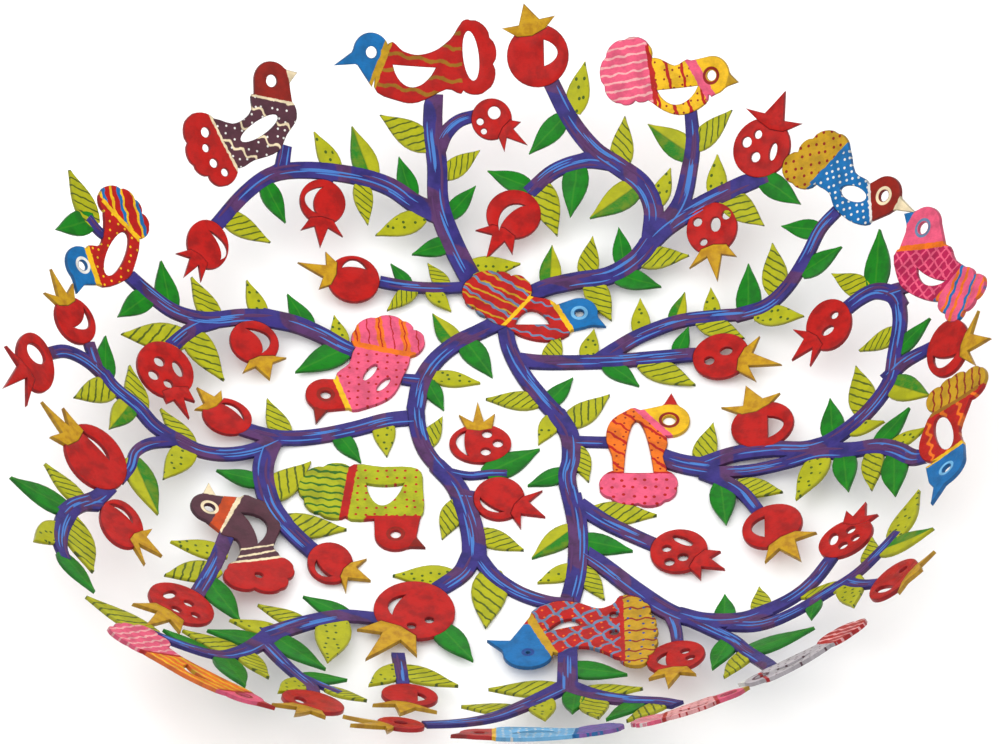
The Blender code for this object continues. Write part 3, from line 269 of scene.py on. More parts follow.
# birds: head is its centre, radius and beak tip; the collar and tail lines divide the colours
birds = {
    "bird_far_left": {
        "head": ((-93.5, 162.5), 7.5, (-83, 167.5)), "eye": 2.4,
        "body": [
            (-101, 156), (-92, 156.5), (-84, 156), (-81.5, 150), (-85, 143), (-88, 136), (-97, 131),
            (-105, 127), (-117, 142), (-108, 143), (-103, 146), (-100.5, 150),
        ],
        "tail": [(-116, 143), (-127, 141), (-126, 131), (-122, 123), (-109, 118), (-104, 127)],
        "holes": [
            ("slot", (-96.5, 143.5), 9.5, 2.8, 41), ("round", (-119, 137), 2), ("round", (-118, 131), 1.6),
            ("round", (-114, 126), 1.8), ("round", (-109, 123.5), 1.6),
        ],
        "collar": ((-100, 155.5), (-84, 155.5)), "tailLine": ((-117, 142.5), (-105, 127)),
        "paint": {
            "head": "redBrown", "beak": "cream", "body": "purpleBrown", "tail": "red", "collar": "cream",
            "collarWidth": 0.9, "band": "cream", "bandWidth": 1.1, "eye": "redBrown",
            "bodyPattern": [("dots", "white", 3.6, 0.5, 0.5), ("lines", "cream", 70, 9, 0.06, 0.9, 6)],
            "tailPattern": [],
        },
    },
    "bird_far": {
        "head": ((-53, 179), 7.5, (-68, 172.3)), "eye": 2.3,
        "body": [
            (-51, 166), (-46, 183), (-40, 180.5), (-34, 179.5), (-27, 181.5), (-21, 186), (-16, 191),
            (-15, 167), (-22, 167), (-33, 161.5), (-41, 161.5),
        ],
        "tail": [(-17, 192), (-13, 193.5), (-5, 187), (-3.5, 177), (-6, 167), (-16, 167.5)],
        "holes": [("moon", (-44, 175), (-36, 167), (-26.5, 175), 0), ("slot", (-12.5, 180), 3.2, 9.5, 8)],
        "collar": ((-46.5, 183), (-52, 166)), "tailLine": ((-16.5, 192), (-15, 167)),
        "paint": {
            "head": "blue", "beak": "blue", "body": "red", "tail": "red", "collar": "gold",
            "collarWidth": 3.2, "band": "red", "bandWidth": 1, "eye": "blue",
            "bodyPattern": [("lines", "ochre", 84, 6.2, 0.17, 0.5, 9)],
            "tailPattern": [],
        },
    },
    "bird_far_right": {
        "head": ((85, 166), 7.5, (96, 161.5)), "eye": 2,
        "body": [
            (77, 173), (83, 159), (78, 154), (70, 153), (62, 157), (54, 166), (54, 174), (62, 176),
            (70, 172),
        ],
        "tail": [(59, 161), (47, 160), (41, 167), (42, 178), (50, 184), (60, 181)],
        "holes": [("moon", (62, 163.5), (70, 157), (79, 163), 0)],
        "collar": ((77, 173), (84, 158)), "tailLine": ((59.5, 178), (61, 160)),
        "paint": {
            "head": "yellow", "beak": "gold", "body": "yellow", "tail": "pink", "collar": "pink",
            "collarWidth": 4, "band": "red", "bandWidth": 1.4, "eye": "redBrown",
            "bodyPattern": [("dots", "redBrown", 3.4, 0.5, 0.4), ("lines", "red", 8, 6, 0.16, 0.2, 6)],
            "tailPattern": [("lines", "palePink", 95, 3.2, 0.2, 0.2, 6)],
        },
    },
    "bird_right_upper": {
        "head": ((153, 101), 7.8, (166, 89)), "eye": 2.2,
        "body": [
            (146, 93), (138, 95), (131, 103), (129, 110), (124, 117), (139, 126), (141, 115), (147, 108),
        ],
        "tail": [(124, 115), (114, 118), (111, 126), (125, 133), (136, 132), (140, 125)],
        "holes": [("slot", (139.5, 106.5), 6.4, 2.9, -34)],
        "collar": ((146, 93), (147, 108)), "tailLine": ((124.5, 117), (139.5, 126)),
        "paint": {
            "head": "redBrown", "beak": "cream", "body": "blue", "tail": "gold", "collar": "white",
            "collarWidth": 1.2, "band": "blue", "bandWidth": 1.6, "eye": "cream",
            "bodyPattern": [("dots", "white", 2.8, 0.6, 0.25)],
            "tailPattern": [("dots", "redBrown", 3.6, 0.7, 0.3)],
        },
    },
    "bird_right_rim": {
        "head": ((169, 81), 8.5, (161, 90.5)), "eye": 2.4,
        "body": [(156, 77), (178, 70), (182, 61), (188, 52), (180, 45), (170, 48), (160, 56), (155, 64)],
        "tail": [(172, 46), (186, 55), (196, 43), (190, 38), (178, 34)],
        "holes": [("moon", (164, 66), (167, 57), (177, 54), 0.3)],
        "collar": ((157, 77), (178, 70)), "tailLine": ((170, 49), (185, 57)),
        "paint": {
            "head": "pink", "beak": "blue", "body": "magenta", "tail": "pink", "collar": "orange",
            "collarWidth": 2.4, "band": "magenta", "bandWidth": 1.6, "eye": "greyBlue",
            "bodyPattern": [("lines", "pink", 25, 3.6, 0.18), ("lines", "pink", 115, 3.6, 0.18)],
            "tailPattern": [
                ("lines", "orange", 145, 5.4, 0.24, 0.3, 6), ("lines", "blue", 145, 8.6, 0.12, 0.3, 6),
            ],
        },
    },
    "bird_right_lower": {
        "head": ((173, -41), 8.7, (166, -58)), "eye": 2,
        "body": [
            (165, -31), (180, -34), (179, -22), (184, -10), (186, -4), (168, -4), (162, -12), (160, -22),
        ],
        "tail": [(166, -4), (165, 5), (176, 7.5), (190, 4), (192, -6), (184, -9)],
        "holes": [("slot", (171.5, -19), 3.9, 11, 14)],
        "collar": ((163, -33), (181, -31)), "tailLine": ((166, -6), (186, -6)),
        "paint": {
            "head": "blue", "beak": "blue", "body": "red", "tail": "gold", "collar": "yellow",
            "collarWidth": 2.4, "band": "ochre", "bandWidth": 2, "eye": "paleBlue",
            "bodyPattern": [("lines", "orange", 5, 7.4, 0.16, 0.8, 6)],
            "tailPattern": [("lines", "redBrown", 0, 3.8, 0.16, 0.3, 6)],
        },
    },
    "bird_left_rim": {
        "head": ((-166, 66), 7.8, (-167, 53)), "eye": 2,
        "body": [
            (-158, 61), (-165, 74), (-159, 78), (-158, 86), (-158, 94), (-143, 89), (-143, 75), (-147, 67),
        ],
        "tail": [(-159, 92), (-162, 99), (-153, 104), (-146, 102), (-138.5, 93), (-142, 87)],
        "holes": [("slot", (-151.5, 77), 3.8, 11, -18)],
        "collar": ((-165, 74), (-158, 61)), "tailLine": ((-158, 95), (-143, 87)),
        "paint": {
            "head": "blue", "beak": "blue", "body": "red", "tail": "red", "collar": "yellow",
            "collarWidth": 2.6, "band": "yellow", "bandWidth": 2, "eye": "white",
            "bodyPattern": [("dots", "yellow", 3.4, 0.55, 0.3)],
            "tailPattern": [
                ("lines", "yellow", 25, 5, 0.2, 0.2, 6), ("lines", "blue", 25, 7.4, 0.16, 0.2, 6),
            ],
        },
    },
    "bird_upper_left": {
        "head": ((-65.5, 34.5), 7.6, (-69, 20.5)), "eye": 2,
        "body": [(-62, 43), (-57, 50), (-53, 59), (-35, 56), (-37, 43), (-41, 34), (-49, 29), (-57, 28)],
        "tail": [(-54, 57), (-55, 66), (-47, 72), (-37, 71), (-29, 63), (-34, 54)],
        "holes": [("slot", (-49, 46), 1.5, 4.6, -30), ("slot", (-44, 40), 1.4, 4, -35)],
        "collar": ((-62, 42.5), (-57, 28)), "tailLine": ((-53.5, 59), (-35, 55)),
        "paint": {
            "head": "red", "beak": "redBrown", "body": "pink", "tail": "pink", "collar": "yellow",
            "collarWidth": 2.2, "band": "orange", "bandWidth": 2.6, "eye": "redBrown",
            "bodyPattern": [("dots", "red", 3.6, 0.6, 0.3)],
            "tailPattern": [
                ("lines", "orange", 8, 9, 0.26, 0.2, 6), ("lines", "red", 8, 4.5, 0.06, 0.2, 6),
            ],
        },
    },
    "bird_hub": {
        "head": ((29, 75), 7, (39, 68.5)), "eye": 1.7,
        "body": [(20, 80), (26, 67), (18, 62), (8, 64), (1, 70), (-2, 78), (4, 85), (12, 83)],
        "tail": [(4, 70), (-6, 74), (-14, 82), (-12, 91), (-2, 94), (9, 91), (10, 82)],
        "holes": [("moon", (5, 70), (11, 77), (18, 70), 0)],
        "collar": ((20, 79), (26, 67)), "tailLine": ((1, 70), (11, 83)),
        "paint": {
            "head": "blue", "beak": "blue", "body": "red", "tail": "red", "collar": "yellow",
            "collarWidth": 2.2, "band": "yellow", "bandWidth": 1.6, "eye": "paleBlue",
            "bodyPattern": [("lines", "greyBlue", 70, 5, 0.12, 0.4, 5)],
            "tailPattern": [
                ("lines", "gold", 62, 4, 0.14, 0.2, 6), ("lines", "greyBlue", 52, 6, 0.12, 0.3, 6),
            ],
        },
    },
    "bird_middle": {
        "head": ((62, 22), 7.8, (63, 35.5)), "eye": 2.4,
        "body": [
            (61, 13.5), (51, 27.5), (45, 26), (40, 21), (38.5, 13), (40.5, 5), (43, -5), (60, -5),
            (59.5, 4),
        ],
        "tail": [(41, -3), (36, -11), (40, -16), (50, -19), (60, -17.5), (64.5, -11), (61, -3)],
        "holes": [("moon", (45, -4), (50, 22), (56, -4), 0)],
        "collar": ((51, 27), (62, 14)), "tailLine": ((41, -4), (61, -4)),
        "paint": {
            "head": "yellow", "beak": "red", "body": "orange", "tail": "pink", "collar": "pink",
            "collarWidth": 2.8, "band": "red", "bandWidth": 1, "eye": "redBrown",
            "bodyPattern": [("dots", "redBrown", 3.2, 0.5, 0.4), ("lines", "red", 50, 5.4, 0.15, 0.2, 5)],
            "tailPattern": [("dots", "red", 4, 0.75, 0.3)],
        },
    },
    "bird_left_lower": {
        "head": ((-108.5, -28.5), 7.2, (-109, -15.5)), "eye": 2,
        "body": [
            (-97, -20), (-104.5, -40), (-98, -42.5), (-96.5, -48.5), (-97.5, -56), (-82, -49.5), (-84, -44),
            (-83, -39), (-81.5, -31), (-86, -22), (-91, -19.5),
        ],
        "tail": [
            (-97.5, -55), (-101.5, -60), (-101, -69), (-91, -68.5), (-81, -66), (-76.5, -54),
            (-81.5, -48.5),
        ],
        "holes": [("moon", (-96.5, -28), (-87, -31), (-90, -43), 0.2), ("round", (-89.5, -60.5), 1.6)],
        "collar": ((-97, -20), (-104.5, -40)), "tailLine": ((-98, -55.5), (-81.5, -48.5)),
        "paint": {
            "head": "purpleBrown", "beak": "cream", "body": "purpleBrown", "tail": "red", "collar": "cream",
            "collarWidth": 1.8, "band": "cream", "bandWidth": 1.2, "eye": "cream",
            "bands": [
                (((-100.5, -20), (-106.5, -39)), "rust", 4.4), (((-96.5, -48), (-84, -42.5)), "cream", 0.9),
                (((-96.5, -52), (-83.5, -45.5)), "cream", 0.9),
            ],
            "bodyPattern": [],
            "tailPattern": [],
        },
    },
    "bird_lower_left": {
        "head": ((-39, -34), 7.8, (-28, -40.5)), "eye": 2,
        "body": [(-57, -1.5), (-44, -1), (-31, -2), (-29, -12), (-30, -26), (-44, -26.5), (-58, -25)],
        "tail": [(-56, -1), (-66, -1), (-73, -6), (-73, -17), (-67, -24), (-57, -25)],
        "holes": [("moon", (-50, -9), (-44, -20), (-36, -9), 0.1)],
        "collar": ((-47, -26), (-30, -26)), "tailLine": ((-55, -1), (-58, -24)),
        "paint": {
            "head": "red", "beak": "redBrown", "body": "lime", "tail": "lime", "collar": "red",
            "collarWidth": 1.8, "band": "red", "bandWidth": 3.2, "eye": "redBrown",
            "bodyPattern": [("dots", "red", 3.6, 0.6, 0.3)],
            "tailPattern": [("lines", "green", 84, 3.4, 0.24, 0.3, 5)],
        },
    },
    "bird_bottom": {
        "head": ((9.5, -95), 9.2, (-5.5, -87.5)), "eye": 0.9,
        "body": [
            (10, -75), (18.5, -95), (26, -92.5), (32, -93), (37, -96), (45, -100), (45, -66.5), (40, -69.5),
            (35, -71), (27, -67.5), (18, -67.5),
        ],
        "tail": [(43, -65), (52, -69), (56, -83), (56, -96), (51, -108), (43, -101)],
        "holes": [
            ("moon", (16, -83.5), (23.5, -76.5), (29, -80), 0.1), ("round", (41, -75), 1.7),
            ("round", (41, -85), 1.7),
        ],
        "collar": ((10, -75), (18.5, -95)), "tailLine": ((43.5, -66), (44.5, -101)),
        "paint": {
            "head": "blue", "beak": "blue", "body": "red", "tail": "gold", "collar": "gold",
            "collarWidth": 3.2, "band": "red", "bandWidth": 1.6, "eye": "deepBlue",
            "bodyPattern": [
                ("lines", "greyBlue", 35, 6.5, 0.13, 0.3, 6), ("lines", "greyBlue", 125, 6.5, 0.13, 0.3, 6),
                ("dots", "orange", 3.6, 0.5, 0.4),
            ],
            "tailPattern": [
                ("lines", "redBrown", 88, 6.4, 0.1, 0.5, 6), ("dots", "deepBlue", 4.6, 0.6, 0.3),
            ],
        },
    },
    "bird_near_left": {
        "head": ((-99, -164), 8, (-87, -171)), "eye": 2,
        "body": [
            (-107, -168), (-94, -157), (-107, -146), (-121, -137), (-130, -130), (-140, -142), (-130, -151),
            (-119, -161),
        ],
        "tail": [(-126, -126), (-135, -119), (-146, -125), (-152, -137), (-144, -144), (-136, -144)],
        "holes": [("moon", (-120, -143), (-121, -152), (-112, -156), 0.2)],
        "collar": ((-107, -165), (-95, -156)), "tailLine": ((-121, -136), (-139, -146)),
        "paint": {
            "head": "pink", "beak": "red", "body": "orange", "tail": "pink", "collar": "red",
            "collarWidth": 1.8, "band": "red", "bandWidth": 1.6, "eye": "redBrown",
            "bodyPattern": [("lines", "yellow", 50, 4.4, 0.26, 0.3, 6)],
            "tailPattern": [("lines", "palePink", 140, 3.6, 0.2, 0.3, 6)],
        },
    },
    "bird_near_middle": {
        "head": ((87, -160), 6, (95, -157)), "eye": 2,
        "body": [
            (83, -167.5), (81, -154.5), (73, -156), (65.5, -160), (60, -166), (63.5, -176), (72.5, -175.5),
        ],
        "tail": [(61.5, -165), (54, -163), (50, -167.5), (51, -175), (55.5, -180), (63.5, -177.5)],
        "holes": [("moon", (67.5, -166), (73.5, -171.5), (79.5, -165), 0.2)],
        "collar": ((83, -167), (81, -155)), "tailLine": ((62.5, -165), (62.5, -178)),
        "paint": {
            "head": "pink", "beak": "gold", "body": "palePink", "tail": "pink", "collar": "red",
            "collarWidth": 1.6, "band": "red", "bandWidth": 1.6, "eye": "redBrown",
            "bodyPattern": [("dots", "red", 3.4, 0.65, 0.3)],
            "tailPattern": [("lines", "white", 95, 3.4, 0.2, 0.3, 6)],
        },
    },
    "bird_near_right": {
        "head": ((99, -147.5), 6.5, (89.5, -146)), "eye": 2,
        "body": [
            (101.5, -156), (98, -140.5), (106.5, -136.5), (116, -134), (124, -134), (129.5, -140.5),
            (120.5, -150), (110, -155.5),
        ],
        "tail": [(121, -131.5), (127, -125), (137.5, -128), (142.5, -134.5), (137.5, -143), (128, -143.5)],
        "holes": [("moon", (105, -145.5), (112.5, -149.5), (119, -141), 0.2)],
        "collar": ((102, -155), (98, -142)), "tailLine": ((121, -132), (129, -142.5)),
        "paint": {
            "head": "greyWhite", "beak": "white", "body": "greyWhite", "tail": "red", "collar": "red",
            "collarWidth": 1.4, "band": "red", "bandWidth": 1.6, "eye": "purpleBrown",
            "bodyPattern": [("dots", "purpleBrown", 3.4, 0.6, 0.3)],
            "tailPattern": [("lines", "palePink", 50, 3.6, 0.24, 0.3, 6)],
        },
    },
    "bird_near": {
        "head": ((-8.5, -169), 7.5, (-19.5, -175.5)), "eye": 2,
        "body": [
            (-4, -177.5), (-2.5, -159.5), (9.5, -159), (21, -163), (30.5, -169), (29, -182.5), (18.5, -184),
            (5, -182.5),
        ],
        "tail": [(27.5, -168), (36, -163.5), (43.5, -166.5), (45.5, -176), (39.5, -182.5), (28, -183.5)],
        "holes": [("moon", (3.5, -170.5), (12.5, -165), (20.5, -171.5), 0.2)],
        "collar": ((-3, -177.5), (-3, -160.5)), "tailLine": ((28.5, -168), (28, -182.5)),
        "paint": {
            "head": "red", "beak": "redBrown", "body": "paleBlue", "tail": "lilac", "collar": "yellow",
            "collarWidth": 1.6, "band": "blue", "bandWidth": 1.6, "eye": "redBrown",
            "bodyPattern": [("dots", "white", 3, 0.6, 0.3)],
            "tailPattern": [("lines", "blue", 90, 3.6, 0.22, 0.3, 6)],
        },
    },
}

# limbs: branches are the width at each end and the route; each leaf is its base and tip
limbs = {
    "limb_top": {
        "branches": [
            (7.5, 8.5, [(-27, 165), (-27, 152), (-25, 138), (-24, 122), (-18, 105), (-10, 88)]),
            (6.5, 4.5, [(-25, 143), (-22, 150), (-17, 155), (-10, 157.5)]),
            (8, 5.5, [
                (-24, 118), (-33, 122), (-43, 128), (-56, 131), (-74, 131), (-89, 127), (-100, 117),
                (-111, 101),
            ]),
            (6, 5, [(-86, 129), (-85, 139)]),
            (5, 6, [(-68, 131), (-68, 125)]),
            (4.5, 5, [(-10, 88), (-22, 87), (-34, 87), (-46, 88.5)]),
        ],
        "leaves": {
            "striped": [
                ((-30, 146), (-48, 155.5)), ((-20.5, 135), (-8.5, 144)), ((-54, 127), (-51, 112)),
                ((-106, 106), (-88.5, 99.5)), ((-22, 89), (-28, 97.5)), ((-34, 85.5), (-43, 76)),
            ],
            "dotted": [
                ((-65, 133), (-74, 146)), ((-32, 116), (-48, 108)), ((-26, 85), (-19, 76.5)),
                ((-11, 96), (7, 98)),
            ],
            "two_tone": [((-51, 132), (-59, 150))],
            "green": [
                ((-35, 126), (-40, 140)), ((-19, 119), (-10, 130)), ((-91, 121), (-83, 108.5)),
                ((-21, 106), (-34, 101)), ((-36, 89), (-42, 96.5)),
            ],
        },
    },
    "limb_upper_right": {
        "branches": [
            (7, 8, [(8, 83), (17, 87.5), (28, 90), (40, 91.5), (50, 97), (57, 105)]),
            (8, 7, [(55, 103), (63, 110), (75, 116), (90, 121), (104, 124)]),
            (8, 5, [(62, 110), (69, 119), (73, 132), (75, 142), (75, 154)]),
            (8, 6.5, [(57, 106), (58, 118), (54, 128), (45, 136), (36, 143), (27, 155), (19, 171)]),
            (6, 6, [(44, 137), (32, 139), (20, 135.5), (10, 127)]),
        ],
        "leaves": {
            "dotted": [((29, 160), (33.5, 177)), ((60, 121), (65.5, 133)), ((83, 121), (84.5, 135.5))],
            "green": [
                ((23, 155), (10.5, 142.5)), ((9, 130), (-5.5, 136)), ((29, 136), (26, 117)),
                ((46, 97), (44.5, 111.5)), ((103, 122), (116.5, 109)), ((44, 91.5), (60, 85)),
            ],
            "striped": [
                ((46, 137), (48.5, 155)), ((15, 129), (21, 109.5)), ((77, 141), (92, 151.5)),
                ((87, 118), (101, 104)), ((32, 93), (34.5, 108.5)), ((34, 88), (41, 71.5)),
                ((53, 98), (71, 97)),
            ],
            "two_tone": [((51, 127), (33.5, 116)), ((73, 138), (57.5, 151)), ((18, 90), (19, 105.5))],
        },
    },
    "limb_left_trunk": {
        "branches": [
            (7, 7, [(0, 72), (-8, 67), (-17, 61), (-25, 52), (-30, 41), (-32, 28)]),
            (6.5, 6, [(-32, 30), (-31, 18), (-28, 7), (-22, -3)]),
            (7, 9.5, [(-24, 0), (-17, -10), (-13, -22), (-10.5, -35), (-10, -48)]),
            (8, 7, [(-11, -44), (-15, -53), (-25, -62)]),
            (6, 6, [(-9, -44), (-3, -54), (6, -62), (17, -67), (26, -68)]),
            (5, 6, [(-37, 43), (-30, 42)]),
            (3.5, 3.5, [(-20, -3), (-12, -5), (-4, -4), (2, -4)]),
            (4, 4, [(-16, -14), (-8, -15)]),
        ],
        "leaves": {
            "two_tone": [((-18, 62), (-26, 75))],
            "green": [((-13, 61), (-3.5, 44)), ((-27, 40), (-21.5, 27.5)), ((-4, -3), (14, 8))],
            "dotted": [((-23, 44), (-8, 41)), ((-20, -54), (-40, -54))],
            "striped": [
                ((-28, 11), (-22, 24)), ((-17, -20), (-22, -36)), ((-4, -54), (-6, -80)),
                ((-7, -34), (8, -41.5)),
            ],
        },
    },
    "limb_right_trunk": {
        "branches": [
            (6, 7, [(1, 70), (3, 58), (8, 45), (15, 33), (22, 23)]),
            (7.5, 6.5, [(20, 26), (25, 15), (25.5, 3), (24, -6), (26, -20)]),
            (7.5, 7.5, [(25.5, -14), (27.5, -27), (28, -40), (27, -55), (24, -70)]),
            (7, 6, [(4, 53), (15, 51.5), (28, 51.5), (42, 52), (56, 53), (73, 53.5)]),
            (7, 5, [(36, 52), (43, 58), (52, 64), (66, 69), (80, 69.5), (92, 68.5)]),
            (6, 5, [(88, 68.5), (100, 70.5), (109, 77), (117, 87), (124, 97), (133, 103)]),
            (5, 5, [(26, 12), (40, 11.5)]),
            (7, 6, [(28, -19), (37, -27), (46, -33), (56, -39)]),
        ],
        "leaves": {
            "striped": [
                ((12, 32), (-6, 33)), ((18, 53), (21.5, 66)), ((76, 67.5), (91, 58)), ((54, 50), (72, 39)),
                ((26, 22), (40, 35)), ((28, 7), (32, -8)), ((104, 77), (104, 96)), ((36, -23), (57, -24.5)),
                ((30, -52), (37.5, -66)),
            ],
            "dotted": [
                ((52, 66), (52, 80.5)), ((79, 70), (79, 82)), ((32, 55), (34.5, 67.5)),
                ((19, 23), (13.5, 10.5)), ((98, 67), (114.5, 62.5)), ((25, -51), (13, -57.5)),
            ],
            "two_tone": [((65, 70), (69, 81.5)), ((25, -32), (11, -45.5))],
            "green": [
                ((93, 69), (94, 89.5)), ((66, 56), (70, 66)), ((40, 50), (51, 39.5)),
                ((18, 32), (26.5, 43.5)), ((117, 81.5), (132, 87)), ((122, 97), (108, 102)),
                ((22, -4), (9.5, -10)), ((30, -37), (48, -42)),
            ],
        },
    },
    "limb_far_right": {
        "branches": [
            (8, 9, [(57, 5), (66, 1), (77, -2)]),
            (7, 7, [(74, 0), (86, 4), (100, 4), (112, 1), (121, 1)]),
            (5, 6, [(78, -4), (92, -5), (106, -4), (118, -3), (128, -6)]),
            (6, 5, [(74, -4), (82, -9), (89, -16), (95, -27)]),
            (7, 6, [(118, 0), (128, 4), (139, 11), (148, 21), (151, 33), (154, 46), (154, 55)]),
            (7, 6, [(155, 52), (152, 59), (145, 63.5), (138, 63), (131, 60)]),
            (7, 5, [(146, 22), (155, 27), (168, 28)]),
            (6, 5, [(149, 61), (160, 60)]),
            (7, 7, [(120, -2), (131, -6), (142, -9), (150, -15), (157, -23), (164, -26)]),
        ],
        "leaves": {
            "striped": [
                ((74, 3), (78.5, 20)), ((89, -12), (104, -18.5)), ((140, 66), (127, 77)),
                ((151, 42), (136, 40)), ((137, 12), (134.5, 33.5)), ((140, -12), (139, -31)),
            ],
            "green": [
                ((81, -12), (82.5, -31)), ((145, 66), (149, 88.5)), ((153, 34), (167.5, 41.5)),
                ((124, 4), (123.5, 22)), ((143, -7), (156, 4)), ((128, -8), (129.5, -27)),
                ((149, -18), (149, -40)),
            ],
            "two_tone": [((149, 19), (165, 5.5))],
            "dotted": [((132, 4), (145, 2.5)), ((119, -6), (109, -24)), ((150, -11), (163, -10.5))],
        },
    },
    "limb_lower_right": {
        "branches": [
            (7, 8, [(28, -41), (38, -50), (50, -63), (60, -74), (67, -80)]),
            (8, 9, [(64, -77), (74, -83), (88, -87), (100, -85)]),
            (8, 6, [(96, -86), (108, -81), (116, -74), (123, -63)]),
            (5, 4.5, [(61, -75), (63.5, -85), (64.5, -96)]),
            (5, 6, [(66, -79), (76, -89), (85, -100), (90, -110), (96, -122), (101, -134), (104, -146)]),
            (7, 5, [(84, -89), (96, -94), (108, -92), (121, -86), (134, -80), (144, -71), (151, -64)]),
            (5, 5, [(129, -82), (136, -90), (145, -97)]),
        ],
        "leaves": {
            "green": [
                ((82, -85), (82, -69.5)), ((117, -89), (116, -102)), ((92, -112), (118, -111)),
                ((84, -100), (78, -120)),
            ],
            "striped": [
                ((96, -84), (95, -69)), ((139, -75), (140, -60)), ((126, -84), (109, -82)),
                ((91, -113), (83, -131)),
            ],
            "dotted": [((150, -66), (160, -44)), ((131, -83), (134, -107))],
            "two_tone": [((146, -72), (168, -77))],
        },
    },
    "limb_left_middle": {
        "branches": [
            (7, 6.5, [(-29, 24), (-42, 22.5), (-55, 18), (-70, 14), (-84, 12.5), (-98, 15)]),
            (6, 6, [(-82, 12), (-92, 5), (-102, 1), (-112, 0), (-122, 3)]),
            (6.5, 6, [(-118, 1.5), (-130, 6), (-138, 13), (-148, 18), (-153, 23)]),
            (6, 5, [(-150, 20.5), (-160, 25), (-170, 24.5), (-179, 18)]),
            (5, 5, [(-155, 23), (-160, 34)]),
            (5, 3.5, [(-122, 2), (-132, -3), (-138, -10), (-140, -19), (-144, -28)]),
            (8, 8, [(-85, 12), (-88, 0), (-88, -10), (-85, -22), (-80, -31)]),
            (7, 7, [(-82, -28), (-75, -37), (-67, -46)]),
        ],
        "leaves": {
            "green": [((-152, 22), (-153, 40)), ((-60, 14), (-52, 1.5)), ((-91, -10), (-106, -8))],
            "striped": [
                ((-137, 13), (-142, 31)), ((-117, 3), (-128.5, 15.5)), ((-149, 18), (-165, 4.5)),
                ((-81, 14), (-87.5, 30.5)), ((-86, -16), (-70.5, 1.5)), ((-80, -30), (-57, -31.5)),
            ],
            "two_tone": [((-141, 13), (-149, -3)), ((-138, -16), (-128.5, -39))],
            "dotted": [((-44, 21), (-42.5, 4.5)), ((-117, 0), (-126.5, -19))],
        },
    },
    "limb_upper_left": {
        "branches": [
            (6, 7, [(-146, 71), (-136, 66), (-125, 61.5), (-112, 61.5), (-98, 66), (-86, 68)]),
            (8, 6, [(-90, 67.5), (-78, 66.5), (-68, 63), (-60, 58.5), (-51, 54)]),
            (6, 6, [(-108, 62), (-117, 56), (-126, 45)]),
            (6, 6, [(-94, 66), (-93, 62)]),
        ],
        "leaves": {
            "green": [
                ((-127, 63), (-132, 81)), ((-136, 65), (-148, 51)), ((-73, 66), (-81, 79)),
                ((-59, 57), (-77, 44.5)),
            ],
            "striped": [((-109, 63), (-119, 78)), ((-121, 51), (-146, 44)), ((-118, 54), (-104, 36))],
            "dotted": [((-91, 69), (-97, 82)), ((-60, 60), (-63, 72))],
        },
    },
    "limb_rim_left": {
        "branches": [
            (6, 8, [(-148, -33), (-154, -43), (-163, -53), (-168, -62)]),
            (8, 5, [(-166, -58), (-169, -70), (-170, -82), (-168, -91)]),
            (6, 6, [(-160, -50), (-151, -45)]),
        ],
        "leaves": {
            "striped": [((-161, -48), (-177, -38)), ((-165, -63), (-156, -91))],
            "green": [((-168, -57), (-193, -58)), ((-168, -90), (-156, -106))],
            "dotted": [((-170, -72), (-182, -90))],
        },
    },
    "limb_lower_left": {
        "branches": [
            (6, 8, [(-44, -77), (-57, -77), (-67, -81), (-77, -88), (-87, -97)]),
            (8, 4.5, [(-84, -94), (-90, -104), (-97, -114), (-106, -122), (-120, -123), (-134, -121.5)]),
            (6, 5, [(-88, -102), (-82, -113), (-76, -123), (-71, -131), (-70, -140)]),
            (4, 3.5, [(-74, -124), (-66, -129), (-60, -133)]),
        ],
        "leaves": {
            "green": [
                ((-58, -76), (-73, -68.5)), ((-84, -97), (-65, -114)), ((-89, -102), (-110, -104)),
                ((-112, -122), (-128, -115)), ((-104, -123), (-97, -147)), ((-72, -123), (-57, -120)),
            ],
            "striped": [
                ((-74, -84), (-90, -78)), ((-98, -115), (-120, -110)), ((-133, -121), (-160, -113)),
                ((-96, -114), (-87, -131)), ((-63, -131), (-50, -136)),
            ],
            "dotted": [((-83, -93), (-101, -92)), ((-61, -80), (-64, -108)), ((-74, -128), (-84, -144))],
        },
    },
    "limb_bottom": {
        "branches": [
            (7, 8, [(24, -88), (24, -100), (24, -112), (24, -122)]),
            (8, 6, [(24, -117), (16, -125), (7, -134), (-3, -144), (-14, -151), (-29, -157)]),
            (8, 6, [(24, -118), (34, -127), (46, -135), (58, -142), (66, -151)]),
        ],
        "leaves": {
            "green": [((26, -105), (46, -113)), ((27, -123), (26, -142)), ((51, -138), (39, -155))],
            "striped": [
                ((19, -119), (-5, -119)), ((31, -123), (52, -126)), ((33, -128), (36, -151)),
                ((60, -144), (47, -162)), ((4, -136), (-15, -134)),
            ],
            "dotted": [((14, -127), (16, -148))],
        },
    },
}

# short twigs that only one figure holds
twigs = {
    "bird_left_rim": {
        "branches": [(4, 4, [(-153, 82), (-160, 83.5), (-166, 87)])],
        "leaves": {"striped": [((-164, 87), (-178, 102))], "green": [((-165, 86), (-180, 75.5))]},
    },
    "pomegranate_27": {
        "branches": [(6, 6, [(-101, -38), (-104, -50), (-108, -64), (-114, -82)])],
        "leaves": {
            "dotted": [((-104, -51), (-123.5, -52.5))],
            "striped": [((-107, -62), (-126, -74))],
            "green": [((-109, -70), (-97, -91))],
        },
    },
    "pomegranate_30": {
        "branches": [(5, 5, [(-38, -97), (-37, -108), (-36, -122)])],
        "leaves": {"dotted": [((-38, -107), (-49, -122))], "striped": [((-36, -108), (-16, -117))]},
    },
    "pomegranate_26": {
        "branches": [(4, 4, [(-28, -78), (-25, -82)])],
        "leaves": {"green": [((-22, -81), (-10.5, -99.5))]},
    },
}
branchings = {**limbs, **twigs}


